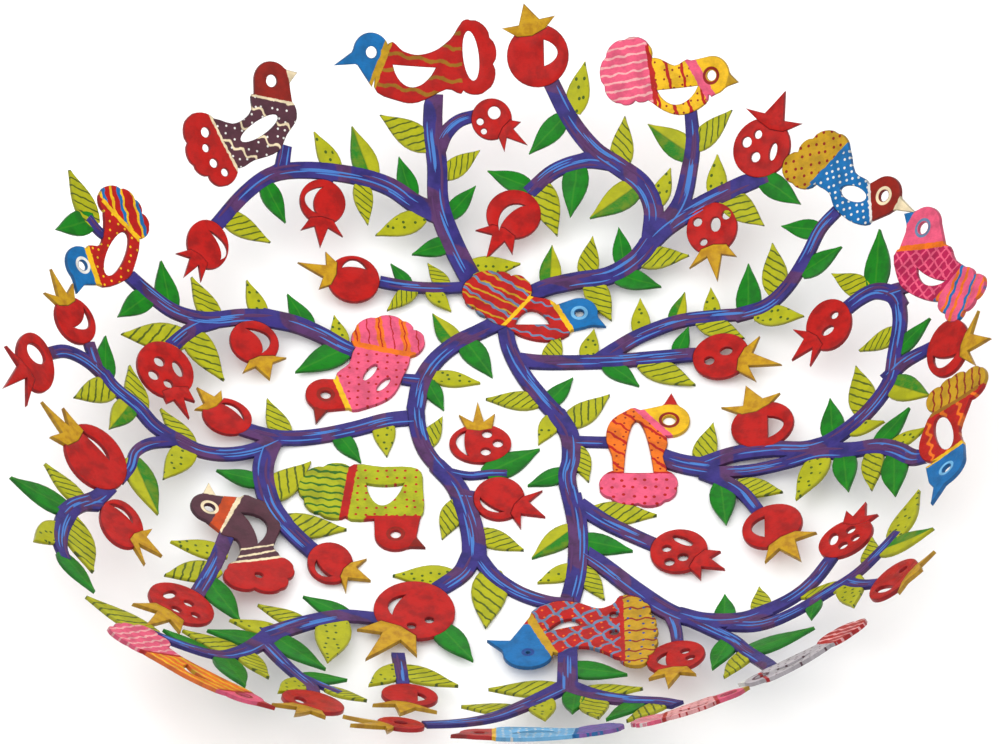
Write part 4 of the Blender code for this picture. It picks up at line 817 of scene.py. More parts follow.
# colours are given as they look on screen
def linear(colour):
    parts = []
    for value in colour:
        share = value / 255
        parts.append(share / 12.92 if share <= 0.04045 else ((share + 0.055) / 1.055) ** 2.4)
    return (*parts, 1.0)


def clearScene():
    for item in list(bpy.data.objects):
        if item.type in {"CAMERA", "LIGHT"}:
            bpy.data.objects.remove(item, do_unlink=True)


def linked(name, data):
    item = bpy.data.objects.new(name, data)
    bpy.context.scene.collection.objects.link(item)
    return item


def meshOf(name, vertices, faces=()):
    mesh = bpy.data.meshes.new(name)
    mesh.from_pydata(vertices, [], faces)
    return mesh


def setNumbers(mesh, label, numbers):
    mesh.attributes.new(label, "FLOAT", "POINT").data.foreach_set("value", np.array(numbers, np.float32))


def setMap(mesh, label, places):
    corners = np.array([places[loop.vertex_index][:2] for loop in mesh.loops], np.float32)
    mesh.uv_layers.new(name=label).data.foreach_set("uv", corners.ravel())


# outlines: points in order round a shape, anticlockwise
def anticlockwise(points):
    points = np.asarray(points, float)
    after = np.roll(points, -1, axis=0)
    return points if np.sum(points[:, 0] * after[:, 1] - after[:, 0] * points[:, 1]) > 0 else points[::-1]


def smooth(points, steps, closed=False):
    points = np.asarray(points, float)  # a Catmull-Rom curve through the points
    if closed:
        padded = np.vstack([points[-1:], points, points[:2]])
    else:
        padded = np.vstack([2 * points[0] - points[1], points, 2 * points[-1] - points[-2]])
    route = []
    for a, b, c, d in zip(padded, padded[1:], padded[2:], padded[3:]):
        for t in np.arange(steps) / steps:
            bend = (2 * a - 5 * b + 4 * c - d) * t**2 + (3 * b - a - 3 * c + d) * t**3
            route.append(b + 0.5 * ((c - a) * t + bend))
    return np.array(route if closed else route + [points[-1]])


def ellipse(centre, across, turn=0.0, steps=36):
    angles = np.arange(steps) * 2 * math.pi / steps
    x, y = across[0] * np.cos(angles), across[1] * np.sin(angles)
    cos, sin = math.cos(math.radians(turn)), math.sin(math.radians(turn))
    return np.stack([centre[0] + x * cos - y * sin, centre[1] + x * sin + y * cos], axis=1)


def moon(start, middle, end, hollow, steps=14, fullness=0.8):
    start, middle, end = (np.asarray(p, float) for p in (start, middle, end))
    t = np.linspace(0, 1, steps)[:, None]
    chord = start + (end - start) * t
    swell = (middle - (start + end) / 2) * (4 * t * (1 - t)) ** fullness
    inner = (chord + swell * hollow)[-2:0:-1] if hollow else chord[:0]
    return anticlockwise(np.vstack([chord + swell, inner]))


def opening(kind, *values):
    if kind == "moon":
        return moon(*values)
    if kind == "round":
        centre, radius = values
        return ellipse(centre, (radius, radius), 0, 24)
    centre, halfX, halfY, turn = values
    return ellipse(centre, (halfX, halfY), turn, 24)


def strip(widthStart, widthEnd, route):
    middle = smooth(route, 6)
    along = np.gradient(middle, axis=0)
    along /= np.linalg.norm(along, axis=1)[:, None]
    side = np.stack([-along[:, 1], along[:, 0]], axis=1)
    half = np.linspace(widthStart, widthEnd, len(middle))[:, None] / 2
    return anticlockwise(np.vstack([middle + side * half, (middle - side * half)[::-1]]))


# the way out from a centre, and the way across it
def outAndSide(centre, place, first=None, second=None):
    out = (place - centre) / np.linalg.norm(place - centre)
    side = np.array([-out[1], out[0]])
    return out, side if first is None or np.dot(first - second, side) > 0 else -side


# shares of the fruit's radius
crownShares = {"root": 0.76, "width": 0.5, "valley": 1.16, "depth": 0.1}


def crown(centre, across, tips):
    centre, tips = np.asarray(centre, float), np.asarray(tips, float)
    radius = min(across)
    heading, side = outAndSide(centre, tips[1], tips[0], tips[1])
    root = centre + heading * radius * crownShares["root"]
    width = side * radius * crownShares["width"]
    points = [root + width]
    for index, tip in enumerate(tips):
        points.append(tip)
        if index < 2:
            out, _ = outAndSide(centre, (tip + tips[index + 1]) / 2)
            points.append(centre + out * radius * crownShares["valley"])
    return anticlockwise(points + [root - width, root - heading * radius * crownShares["depth"]])


# shares of the head's radius
beakShares = {"root": 0.45, "bend": 1.02, "width": 0.88, "upper": 0.34, "lower": 0.3}


def beak(centre, radius, tip):
    centre, tip = np.asarray(centre, float), np.asarray(tip, float)
    out, side = outAndSide(centre, tip)
    side = side * radius
    root = centre + out * radius * beakShares["root"]
    bend = centre + out * radius * beakShares["bend"]
    width = side * beakShares["width"]
    upper, lower = bend - side * beakShares["upper"], bend + side * beakShares["lower"]
    return anticlockwise([root - width, upper, tip, lower, root + width])


def neck(centre, radius, collar):
    centre, collar = np.asarray(centre, float), np.asarray(collar, float)
    side = outAndSide(centre, collar.mean(axis=0), *collar)[1] * radius
    return anticlockwise([centre + side, *collar, centre - side])


def scalloped(points, width=7.5, depth=0.2, roundness=0.6, steps=6):
    points = anticlockwise(points)  # every edge bulges out into a scallop
    route = []
    for a, b in zip(points, np.roll(points, -1, axis=0)):
        edge = b - a
        pieces = max(1, round(np.linalg.norm(edge) / width))
        for piece in range(pieces):
            start = a + edge * piece / pieces
            for step in range(steps):
                t = step / steps
                out = np.array([edge[1], -edge[0]]) / pieces * depth * math.sin(math.pi * t) ** roundness
                route.append(start + edge * t / pieces + out)
    return np.array(route)


def divided(outline, limit):
    points = []
    for a, b in zip(outline, np.roll(outline, -1, axis=0)):
        pieces = max(1, math.ceil(np.linalg.norm(b - a) / limit))
        points.extend(a + (b - a) * i / pieces for i in range(pieces))
    return np.array(points)


def turnsRound(outline, points):
    x, y = points[:, 0], points[:, 1]
    turns = np.zeros(len(points), int)
    for a, b in zip(outline, np.roll(outline, -1, axis=0)):
        side = (b[0] - a[0]) * (y - a[1]) - (x - a[0]) * (b[1] - a[1])
        turns += (a[1] <= y) & (b[1] > y) & (side > 0)
        turns -= (a[1] > y) & (b[1] <= y) & (side < 0)
    return turns


def triangulated(outlines, loose=()):
    coords, edges = [], []
    for outline in outlines:
        first = len(coords)
        coords.extend(outline.tolist())
        edges.extend((first + i, first + (i + 1) % len(outline)) for i in range(len(outline)))
    coords.extend(loose)
    result = delaunay_2d_cdt(coords, edges, [], 0, 0.004, True)
    points = np.array([tuple(p) for p in result[0]])
    faces = np.array([tuple(f) for f in result[2]])
    one, two = points[faces[:, 1]] - points[faces[:, 0]], points[faces[:, 2]] - points[faces[:, 0]]
    areas = (one[:, 0] * two[:, 1] - one[:, 1] * two[:, 0]) / 2
    faces[areas < 0] = faces[areas < 0][:, ::-1]
    return points, faces, np.abs(areas), len(result[0]) == len(coords)


def borderOf(faces):
    directed = {(int(a), int(b)) for face in faces for a, b in zip(face, np.roll(face, -1))}
    return [edge for edge in sorted(directed) if edge[::-1] not in directed]


def largestPieces(faces, areas, smallest):
    owners = {}
    for index, face in enumerate(faces):
        for a, b in zip(face, np.roll(face, -1)):
            owners.setdefault(frozenset((int(a), int(b))), []).append(index)
    links = {index: set() for index in range(len(faces))}
    for pair in owners.values():
        if len(pair) == 2:
            links[pair[0]].add(pair[1])
            links[pair[1]].add(pair[0])
    kept, unseen = [], set(links)
    while unseen:
        group, queue = set(), [min(unseen)]
        while queue:
            index = queue.pop()
            if index not in group:
                group.add(index)
                queue.extend(links[index] - group)
        unseen -= group
        if sum(areas[i] for i in group) > smallest:
            kept.extend(group)
    return faces[sorted(kept)], areas[sorted(kept)]


def bordersOf(shapes, cuts, smallest=4.0):
    points, faces, areas, _ = triangulated([*shapes, *cuts])
    middle = points[faces].mean(axis=1)
    keep = np.any([turnsRound(outline, middle) != 0 for outline in shapes], axis=0)
    for outline in cuts:
        keep &= turnsRound(outline, middle) == 0
    keep &= areas > 1e-4
    faces, areas = largestPieces(faces[keep], areas[keep], smallest)
    while True:
        starts = [a for a, b in borderOf(faces)]
        pinched = sorted({a for a in starts if starts.count(a) > 1})
        if not pinched:
            break
        touching = np.nonzero((faces == pinched[0]).any(axis=1))[0]
        drop = touching[np.argmin(areas[touching])]
        faces, areas = np.delete(faces, drop, axis=0), np.delete(areas, drop)
    following = dict(borderOf(faces))
    loops = []
    while following:
        at = min(following)
        loop = []
        while at in following:
            loop.append(at)
            at = following.pop(at)
        loops.append(evened(points[loop]))
    return [loop for loop in loops if len(loop) > 4]


def evened(loop):
    kept = [loop[0]]  # leaves out points that crowd each other
    for point in loop[1:]:
        if np.linalg.norm(point - kept[-1]) > sheet["crowding"]:
            kept.append(point)
    return divided(np.array(kept), sheet["step"])


def drawnIn(loop, distance):
    before = loop - np.roll(loop, 1, axis=0)
    after = np.roll(loop, -1, axis=0) - loop
    before /= np.linalg.norm(before, axis=1)[:, None]
    after /= np.linalg.norm(after, axis=1)[:, None]
    normal = np.stack([before[:, 1] + after[:, 1], -before[:, 0] - after[:, 0]], axis=1)
    length = np.maximum(np.linalg.norm(normal, axis=1)[:, None], 0.9)
    return loop - normal / length * distance * 2 / length


def fillOf(loops, loose=()):
    points, faces, areas, whole = triangulated(loops, loose)
    middle = points[faces].mean(axis=1)
    return points, faces[sum(turnsRound(loop, middle) for loop in loops) != 0], whole


def innerPoints(loops):
    low = np.min([loop.min(axis=0) for loop in loops], axis=0)
    high = np.max([loop.max(axis=0) for loop in loops], axis=0)
    spacing = sheet["spacing"]
    columns, rows = (np.arange(low[axis], high[axis], spacing) for axis in (0, 1))
    grid = np.array([(x, y) for y in rows for x in columns])
    inside = sum(turnsRound(loop, grid) for loop in loops) != 0
    border = np.vstack(loops)
    clear = np.array([np.min(np.linalg.norm(border - point, axis=1)) > spacing * 0.45 for point in grid])
    return grid[inside & clear].tolist()


# a plate: rounded painted edge carrying painted shade, flat face with even points so that it follows the
# bowl
def plate(name, shapes, cuts, thickness, material, smallest=4.0):
    loops = bordersOf([divided(s, 6.0) for s in shapes], cuts, smallest)
    if not loops:
        return None
    edge = sheet["edge"]
    for reach in (edge, edge / 3):
        inner = [drawnIn(loop, reach) for loop in loops]
        topPoints, topFaces, whole = fillOf(inner, innerPoints(inner))
        if whole:
            break
    bottomPoints, bottomFaces, bottomWhole = fillOf(loops, innerPoints(loops))
    if not (whole and bottomWhole):
        print("plate not whole", name, whole, bottomWhole)
    ring = np.vstack(loops)
    half = np.vstack([drawnIn(loop, reach * sheet["bevel"]) for loop in loops])
    count, topCount, bottomCount = len(ring), len(topPoints), len(bottomPoints)
    heights = (0.0, thickness - reach, thickness - reach * sheet["bevel"], thickness)
    layers = zip((bottomPoints, ring, half, topPoints), heights)
    vertices = np.vstack([np.column_stack([p, np.full(len(p), z)]) for p, z in layers])
    starts = [0, bottomCount, bottomCount + count, bottomCount + 2 * count]
    faces = [face[::-1].tolist() for face in bottomFaces]
    faces += (topFaces + starts[3]).tolist()
    first = 0
    for loop in loops:
        for i in range(len(loop)):
            a, b = first + i, first + (i + 1) % len(loop)
            for low, high in zip(starts, starts[1:]):
                faces.append([a + low, b + low, b + high, a + high])
        first += len(loop)
    mesh = meshOf(name, (vertices * mm).tolist(), faces)
    # rim is 1 on the cut walls and the underside's outer ring, where painted shade darkens the enamel
    rim = np.zeros(len(vertices))
    rim[: starts[3]] = 1.0
    rim[count:bottomCount] = 0.0
    setNumbers(mesh, "rim", rim)
    setMap(mesh, "flat", vertices / uvScale)
    mesh.materials.append(material)
    return linked(name, mesh)


# node helpers, shared by the shader and the geometry trees
def put(tree, socket, value):
    if isinstance(value, bpy.types.NodeSocket):
        tree.links.new(value, socket)
    elif value is not None:
        socket.default_value = value


def node(tree, kind, inputs=None, **settings):
    made = tree.nodes.new(kind)
    for key, value in settings.items():
        setattr(made, key, value)
    for label, value in (inputs or {}).items():
        named = [s for s in made.inputs if s.name == label and s.enabled]
        put(tree, named[0] if named else made.inputs[label], value)
    return made


def result(tree, kind, inputs=None, **settings):
    return next(s for s in node(tree, kind, inputs, **settings).outputs if s.enabled)


def maths(tree, operation, *values, clamp=False):
    return result(tree, "ShaderNodeMath", dict(enumerate(values)), operation=operation, use_clamp=clamp)


def vectors(tree, operation, *values):
    return result(tree, "ShaderNodeVectorMath", dict(enumerate(values)), operation=operation)


def combined(tree, x, y, z):
    return result(tree, "ShaderNodeCombineXYZ", {0: x, 1: y, 2: z})


def ramp(tree, value, low, high, start=0.0, end=1.0):
    inputs = dict(enumerate((value, low, high, start, end)))
    return result(tree, "ShaderNodeMapRange", inputs, interpolation_type="SMOOTHSTEP")


def blended(tree, share, under, over):
    return result(tree, "ShaderNodeMix", {"Factor": share, "A": under, "B": over}, data_type="RGBA")


def noise(tree, place, scale, detail=2.0, roughness=0.5):
    inputs = {"Vector": place, "Scale": scale, "Detail": detail, "Roughness": roughness}
    return result(tree, "ShaderNodeTexNoise", inputs)


def wobbled(tree, place, scale, amount):
    return maths(tree, "MULTIPLY", maths(tree, "SUBTRACT", noise(tree, place, scale), 0.5), amount)


def attribute(tree, label):
    return result(tree, "GeometryNodeInputNamedAttribute", {"Name": label}, data_type="FLOAT")


def randomBetween(tree, low, high, seedValue):
    inputs = {"Min": low, "Max": high, "Seed": seedValue}
    return result(tree, "FunctionNodeRandomValue", inputs, data_type="FLOAT")


def groupOf(kind, name, inputs, outputs):
    tree = bpy.data.node_groups.new(name, kind)
    for label, socketKind, value in inputs:
        socket = tree.interface.new_socket(label, in_out="INPUT", socket_type="NodeSocket" + socketKind)
        if value is not None:
            socket.default_value = value
    for label, socketKind in outputs:
        tree.interface.new_socket(label, in_out="OUTPUT", socket_type="NodeSocket" + socketKind)
    return tree, tree.nodes.new("NodeGroupInput").outputs, tree.nodes.new("NodeGroupOutput").inputs


def used(tree, group, **values):
    inputs = {label.replace("_", " "): value for label, value in values.items()}
    return node(tree, "ShaderNodeGroup", node_tree=group, inputs=inputs).outputs


# hand-brushed enamel: colour that drifts, streaks of the brush, and painted shade that darkens the cut edges
# toward near black
brush = {
    "patch": (0.38, 0.68), "streak": (0.42, 0.72), "streakShare": 0.22, "stretch": (0.9, 3.2, 1.0),
    "streakScale": 0.8, "rimShare": 0.45, "edgeShadeColour": (0.02, 0.015, 0.02, 1.0),
    "gloss": (0.3, 0.75), "roughness": (0.3, 0.46), "streakHeight": 0.6, "patchHeight": 0.4,
}


def makeEnamelGroup():
    inputs = [
        ("Colour", "Color", None), ("Shade", "Color", None), ("Place", "Vector", None),
        ("Patch Size", "Float", 5.0), ("Patch Share", "Float", 0.5), ("Rim", "Float", 0.0),
    ]
    outputs = [("Colour", "Color"), ("Roughness", "Float"), ("Height", "Float")]
    tree, given, made = groupOf("ShaderNodeTree", "brushedEnamel", inputs, outputs)
    scale = maths(tree, "DIVIDE", 1.0, given["Patch Size"])
    patch = ramp(tree, noise(tree, given["Place"], scale, 3.0, 0.6), *brush["patch"])
    share = maths(tree, "MULTIPLY", patch, given["Patch Share"])
    stretched = vectors(tree, "MULTIPLY", given["Place"], brush["stretch"])
    streak = noise(tree, stretched, brush["streakScale"], 3.0, 0.65)
    tone = blended(tree, share, given["Colour"], given["Shade"])
    streakShare = ramp(tree, streak, *brush["streak"], 0.0, brush["streakShare"])
    tone = blended(tree, streakShare, tone, given["Shade"])
    # painted shade: where rim is 1 the colour is blended toward near black
    rimShare = maths(tree, "MULTIPLY", given["Rim"], brush["rimShare"])
    put(tree, made["Colour"], blended(tree, rimShare, tone, brush["edgeShadeColour"]))
    put(tree, made["Roughness"], ramp(tree, streak, *brush["gloss"], *brush["roughness"]))
    patchHeight = maths(tree, "MULTIPLY", patch, brush["patchHeight"])
    put(tree, made["Height"], maths(tree, "MULTIPLY_ADD", streak, brush["streakHeight"], patchHeight))
    return tree


# painted lines across a surface, straight or wavy
def makeLinesGroup():
    inputs = [
        ("Place", "Vector", None), ("Direction", "Vector", (1, 0, 0)), ("Across", "Vector", (0, 1, 0)),
        ("Spacing", "Float", 3.0), ("Width", "Float", 0.3), ("Wave Height", "Float", 0.0),
        ("Wave Length", "Float", 6.0), ("Wobble", "Float", 1.6),
    ]
    tree, given, made = groupOf("ShaderNodeTree", "paintedLines", inputs, [("Mask", "Float")])
    along = vectors(tree, "DOT_PRODUCT", given["Place"], given["Direction"])
    across = vectors(tree, "DOT_PRODUCT", given["Place"], given["Across"])
    turn = maths(tree, "MULTIPLY", maths(tree, "DIVIDE", across, given["Wave Length"]), 2 * math.pi)
    spread = maths(tree, "MULTIPLY_ADD", maths(tree, "SINE", turn), given["Wave Height"], along)
    spread = maths(tree, "ADD", spread, wobbled(tree, given["Place"], 0.35, given["Wobble"]))
    part = maths(tree, "PINGPONG", maths(tree, "DIVIDE", spread, given["Spacing"]), 0.5)
    half = maths(tree, "MULTIPLY", given["Width"], 0.5)
    put(tree, made["Mask"], ramp(tree, part, half, maths(tree, "ADD", half, 0.05), 1.0, 0.0))
    return tree


# round dots set in uneven rows
def makeDotsGroup():
    inputs = [
        ("Place", "Vector", None), ("Spacing", "Float", 3.0),
        ("Radius", "Float", 0.6), ("Unevenness", "Float", 0.35), ("Core", "Float", 0.75),
    ]
    tree, given, made = groupOf("ShaderNodeTree", "paintedDots", inputs, [("Mask", "Float")])
    scale = maths(tree, "DIVIDE", 1.0, given["Spacing"])
    cells = {"Vector": given["Place"], "Scale": scale, "Randomness": given["Unevenness"]}
    away = result(tree, "ShaderNodeTexVoronoi", voronoi_dimensions="2D", feature="F1", inputs=cells)
    reach = maths(tree, "DIVIDE", given["Radius"], given["Spacing"])
    core = maths(tree, "MULTIPLY", reach, given["Core"])
    put(tree, made["Mask"], ramp(tree, away, core, reach, 1.0, 0.0))
    return tree


# which side of a line a place is on, as a mask with a hand-painted border
def makeSideGroup():
    inputs = [
        ("Place", "Vector", None), ("Start", "Vector", None), ("Normal", "Vector", None),
        ("Wobble", "Float", 1.1), ("Softness", "Float", 0.15),
    ]
    outputs = [("Mask", "Float"), ("Distance", "Float")]
    tree, given, made = groupOf("ShaderNodeTree", "sideOfLine", inputs, outputs)
    offset = vectors(tree, "SUBTRACT", given["Place"], given["Start"])
    away = vectors(tree, "DOT_PRODUCT", offset, given["Normal"])
    away = maths(tree, "ADD", away, wobbled(tree, given["Place"], 0.5, given["Wobble"]))
    low = maths(tree, "MULTIPLY", given["Softness"], -1.0)
    put(tree, made["Mask"], ramp(tree, away, low, given["Softness"]))
    put(tree, made["Distance"], away)
    return tree


# the enamel's own finish, the same on every paint
gloss = {"coat": 0.06, "coatRoughness": 0.16, "shine": 0.16, "bump": 0.35, "depth": 0.00025}


def newMaterial(name):
    material = bpy.data.materials.new(name)
    material.use_nodes = True
    return material, material.node_tree


def finished(tree, tone, shadeTone, place, patchSize, patchShare):
    shader = tree.nodes["Principled BSDF"]
    # the rim attribute carries the painted shade on the cut edges
    rim = node(tree, "ShaderNodeAttribute", attribute_name="rim").outputs["Fac"]
    finish = used(
        tree, groups["enamel"], Colour=tone, Shade=shadeTone, Place=place,
        Patch_Size=patchSize, Patch_Share=patchShare, Rim=rim,
    )
    raised = {"Strength": gloss["bump"], "Distance": gloss["depth"], "Height": finish["Height"]}
    put(tree, shader.inputs["Base Color"], finish["Colour"])
    put(tree, shader.inputs["Roughness"], finish["Roughness"])
    put(tree, shader.inputs["Normal"], result(tree, "ShaderNodeBump", raised))
    shader.inputs["Coat Weight"].default_value = gloss["coat"]
    shader.inputs["Coat Roughness"].default_value = gloss["coatRoughness"]
    shader.inputs["Specular IOR Level"].default_value = gloss["shine"]


# a material: layers of paint over a ground colour, then the enamel's own finish
def enamel(name, ground, patchSize=5.0, patchShare=0.5, layers=(), shade=None):
    material, tree = newMaterial(name)
    place = vectors(tree, "MULTIPLY", result(tree, "ShaderNodeUVMap", uv_map="flat"), (uvScale,) * 3)
    tone, shadeTone = linear(ground), linear(shade or deeper(ground))
    for colour, maskOf in layers:
        mask = maskOf(tree, place)
        tone = blended(tree, mask, tone, linear(colour))
        shadeTone = blended(tree, mask, shadeTone, linear(deeper(colour)))
    finished(tree, tone, shadeTone, place, patchSize, patchShare)
    return material


def deeper(colour, share=0.62):
    return tuple(value * share for value in colour)


def heading(angle):
    return (math.cos(math.radians(angle)), math.sin(math.radians(angle)), 0)


# masks: each takes the tree and the place, and gives 1 where there is paint
softEdge = 0.3


def both(one, other):
    return lambda tree, place: maths(tree, "MULTIPLY", one(tree, place), other(tree, place))


def linesMask(angle, spacing, width, wave=0.0, waveLength=6.0):
    values = {
        "Direction": heading(angle), "Across": heading(angle + 90), "Spacing": spacing, "Width": width,
        "Wave_Height": wave, "Wave_Length": waveLength,
    }
    return lambda tree, place: used(tree, groups["lines"], Place=place, **values)["Mask"]


def dotsMask(spacing, radius, unevenness=0.35):
    values = {"Spacing": spacing, "Radius": radius, "Unevenness": unevenness}
    return lambda tree, place: used(tree, groups["dots"], Place=place, **values)["Mask"]


def nearMask(centre, reach):
    def mask(tree, place):
        away = vectors(tree, "DISTANCE", place, (*centre, 0))
        return ramp(tree, away, reach - softEdge, reach + softEdge, 1.0, 0.0)
    return mask


def ringMask(centre, radius, width):
    def mask(tree, place):
        away = vectors(tree, "DISTANCE", place, (*centre, 0))
        off = maths(tree, "ABSOLUTE", maths(tree, "SUBTRACT", away, radius))
        return ramp(tree, off, width / 2 - 0.1, width / 2 + 0.1, 1.0, 0.0)
    return mask


def sideOf(line, towards=(1000, 1000)):
    (ax, ay), (bx, by) = line
    normal = Vector((by - ay, ax - bx, 0)).normalized()
    if (towards[0] - ax) * normal.x + (towards[1] - ay) * normal.y < 0:
        normal.negate()
    values = {"Start": (ax, ay, 0), "Normal": tuple(normal)}
    return lambda tree, place: used(tree, groups["side"], Place=place, **values)


def zoneMask(line, towards, centre, reach):
    side = sideOf(line, towards)
    return both(nearMask(centre, reach), lambda tree, place: side(tree, place)["Mask"])


def bandMask(line, width):
    side = sideOf(line)

    def stripe(tree, place):
        off = maths(tree, "ABSOLUTE", side(tree, place)["Distance"])
        return ramp(tree, off, width / 2 - 0.15, width / 2 + 0.1, 1.0, 0.0)
    return both(stripe, nearMask(np.mean(line, axis=0).tolist(), math.dist(*line) / 2 + 3))


# geometry nodes: lays flat shapes on the raised sheet
def bowlPosition(tree, place):
    do = partial(maths, tree)
    x, y, lift = node(tree, "ShaderNodeSeparateXYZ", {0: place}).outputs
    out = do("MAXIMUM", vectors(tree, "LENGTH", combined(tree, x, y, 0.0)), 1e-6)
    left = do("MAXIMUM", do("DIVIDE", do("MULTIPLY", x, -1.0), out), 0.0)
    near = do("MAXIMUM", do("DIVIDE", do("MULTIPLY", y, -1.0), out), 0.0)
    lean = do("MULTIPLY", do("MULTIPLY", left, left), near)
    beyond = do("SUBTRACT", out, flare["start"] * mm)
    grown = do("DIVIDE", beyond, flare["span"] * mm, clamp=True)
    loss = do("MULTIPLY", do("MULTIPLY", lean, grown), flare["amount"])
    curve = do("DIVIDE", bowl["wallRadius"] * mm, do("SUBTRACT", 1.0, loss))
    base = bowl["baseRadius"] * mm
    angle = do("DIVIDE", do("MAXIMUM", do("SUBTRACT", out, base), 0.0), curve)
    radius = do("SUBTRACT", curve, lift)
    reach = do("MULTIPLY_ADD", radius, do("SINE", angle), do("MINIMUM", out, base))
    height = do("SUBTRACT", curve, do("MULTIPLY", radius, do("COSINE", angle)))
    scale = do("DIVIDE", reach, out)
    return combined(tree, do("MULTIPLY", x, scale), do("MULTIPLY", y, scale), height)


def laidAndPainted(tree, geometry, finish):
    place = bowlPosition(tree, result(tree, "GeometryNodeInputPosition"))
    laid = result(tree, "GeometryNodeSetPosition", {"Geometry": geometry, "Position": place})
    realised = result(tree, "GeometryNodeRealizeInstances", {0: laid})
    return result(tree, "GeometryNodeSetMaterial", {"Geometry": realised, "Material": finish})


def geometryTree(name, inputs):
    sockets = [("Geometry", "Geometry", None), ("Finish", "Material", None), *inputs]
    return groupOf("GeometryNodeTree", name, sockets, [("Geometry", "Geometry")])


def makeLayTree():
    tree, given, made = geometryTree("layOnBowl", [])
    put(tree, made["Geometry"], laidAndPainted(tree, given["Geometry"], given["Finish"]))
    return tree


# leaves: one flat leaf set out on points that hold each leaf's heading, length and breadth
def makeLeafTree():
    inputs = [
        ("Leaf", "Object", None), ("Lift", "Float", 0.00006),
        ("Breadth Spread", "Float", 0.06), ("Seed", "Int", seed),
    ]
    tree, given, made = geometryTree("leavesOnBranches", inputs)
    low = maths(tree, "SUBTRACT", 1.0, given["Breadth Spread"])
    high = maths(tree, "ADD", 1.0, given["Breadth Spread"])
    spread = randomBetween(tree, low, high, given["Seed"])
    breadth = maths(tree, "MULTIPLY", attribute(tree, "breadth"), spread)
    leaf = node(tree, "GeometryNodeObjectInfo", {"Object": given["Leaf"]}, transform_space="ORIGINAL")
    placed = result(tree, "GeometryNodeInstanceOnPoints", {
        "Points": result(tree, "GeometryNodeMeshToPoints", {"Mesh": given["Geometry"]}),
        "Instance": leaf.outputs["Geometry"],
        "Rotation": combined(tree, 0.0, 0.0, attribute(tree, "heading")),
        "Scale": combined(tree, attribute(tree, "length"), breadth, 1.0),
    })
    realised = result(tree, "GeometryNodeRealizeInstances", {0: placed})
    offset = combined(tree, 0.0, 0.0, given["Lift"])
    raised = result(tree, "GeometryNodeSetPosition", {"Geometry": realised, "Offset": offset})
    put(tree, made["Geometry"], laidAndPainted(tree, raised, given["Finish"]))
    return tree


# brush strokes: short raised lines of paint that follow the branches
def makeStrokeTree():
    inputs = [
        ("Spacing", "Float", 0.005), ("Stroke Length", "Float", 0.015), ("Half Width", "Float", 0.0003),
        ("Height", "Float", 0.0014), ("Spread", "Float", 0.6), ("Flatness", "Float", 0.45),
        ("Seed", "Int", seed),
    ]
    tree, given, made = geometryTree("strokesOnBranches", inputs)
    do = partial(maths, tree)

    def stored(geometry, label, value):
        inputs = {"Geometry": geometry, "Name": label, "Value": value}
        return result(tree, "GeometryNodeStoreNamedAttribute", inputs, data_type="FLOAT", domain="CURVE")

    length = result(tree, "GeometryNodeSplineLength")
    amount = do("CEIL", do("DIVIDE", length, given["Spacing"]))
    copies = {"Geometry": given["Geometry"], "Amount": amount}
    strokes = result(tree, "GeometryNodeDuplicateElements", copies, domain="SPLINE")
    room = do("MAXIMUM", do("SUBTRACT", length, do("MULTIPLY", given["Stroke Length"], 0.5)), 0.0)
    start = do("MULTIPLY", randomBetween(tree, 0.0, 1.0, do("ADD", given["Seed"], 1)), room)
    strokes = stored(strokes, "strokeStart", start)
    strokes = stored(strokes, "strokeAside", randomBetween(tree, -1.0, 1.0, do("ADD", given["Seed"], 2)))
    sideways = vectors(tree, "CROSS_PRODUCT", result(tree, "GeometryNodeInputTangent"), (0, 0, 1))
    half = do("MULTIPLY", result(tree, "GeometryNodeInputRadius"), mm)
    aside = do("MULTIPLY", do("MULTIPLY", attribute(tree, "strokeAside"), given["Spread"]), half)
    offset = vectors(tree, "MULTIPLY", sideways, combined(tree, aside, aside, aside))
    strokes = result(tree, "GeometryNodeSetPosition", {"Geometry": strokes, "Offset": offset})
    start = attribute(tree, "strokeStart")
    ends = {"Curve": strokes, "Start": start, "End": do("ADD", start, given["Stroke Length"])}
    strokes = result(tree, "GeometryNodeTrimCurve", ends, mode="LENGTH")
    strokes = result(tree, "GeometryNodeResampleCurve", {"Curve": strokes, "Count": 9}, mode="COUNT")
    along = node(tree, "GeometryNodeSplineParameter").outputs["Factor"]
    taper = do("ADD", do("POWER", do("SINE", do("MULTIPLY", along, math.pi)), 0.5), 0.05)
    strokes = result(tree, "GeometryNodeSetCurveRadius", {"Curve": strokes, "Radius": taper})
    ring = {"Resolution": 6, "Radius": given["Half Width"]}
    profile = result(tree, "GeometryNodeCurvePrimitiveCircle", ring, mode="RADIUS")
    swept = {"Curve": strokes, "Profile Curve": profile, "Fill Caps": True}
    body = node(tree, "GeometryNodeCurveToMesh", swept)
    if "Scale" in body.inputs:
        put(tree, body.inputs["Scale"], taper)
    flatness = combined(tree, 1.0, 1.0, given["Flatness"])
    low = vectors(tree, "MULTIPLY", result(tree, "GeometryNodeInputPosition"), flatness)
    place = vectors(tree, "ADD", low, combined(tree, 0.0, 0.0, given["Height"]))
    pressed = result(tree, "GeometryNodeSetPosition", {"Geometry": body.outputs[0], "Position": place})
    put(tree, made["Geometry"], laidAndPainted(tree, pressed, given["Finish"]))
    return tree


def grownFrom(item, tree, name, values):
    modifier = item.modifiers.new("nodes", "NODES")
    modifier.node_group = tree
    sockets = {s.name: s.identifier for s in tree.interface.items_tree if s.in_out == "INPUT"}
    for label, value in values.items():
        modifier[sockets[label]] = value
    bpy.context.view_layer.update()
    mesh = bpy.data.meshes.new_from_object(item.evaluated_get(bpy.context.evaluated_depsgraph_get()))
    source = item.data
    item.modifiers.remove(modifier)
    bpy.data.objects.remove(item, do_unlink=True)
    if isinstance(source, bpy.types.Mesh):
        bpy.data.meshes.remove(source)
    mesh.name = name
    mesh.shade_smooth()
    mesh.set_sharp_from_angle(angle=sheet["sharp"])
    return linked(name, mesh)


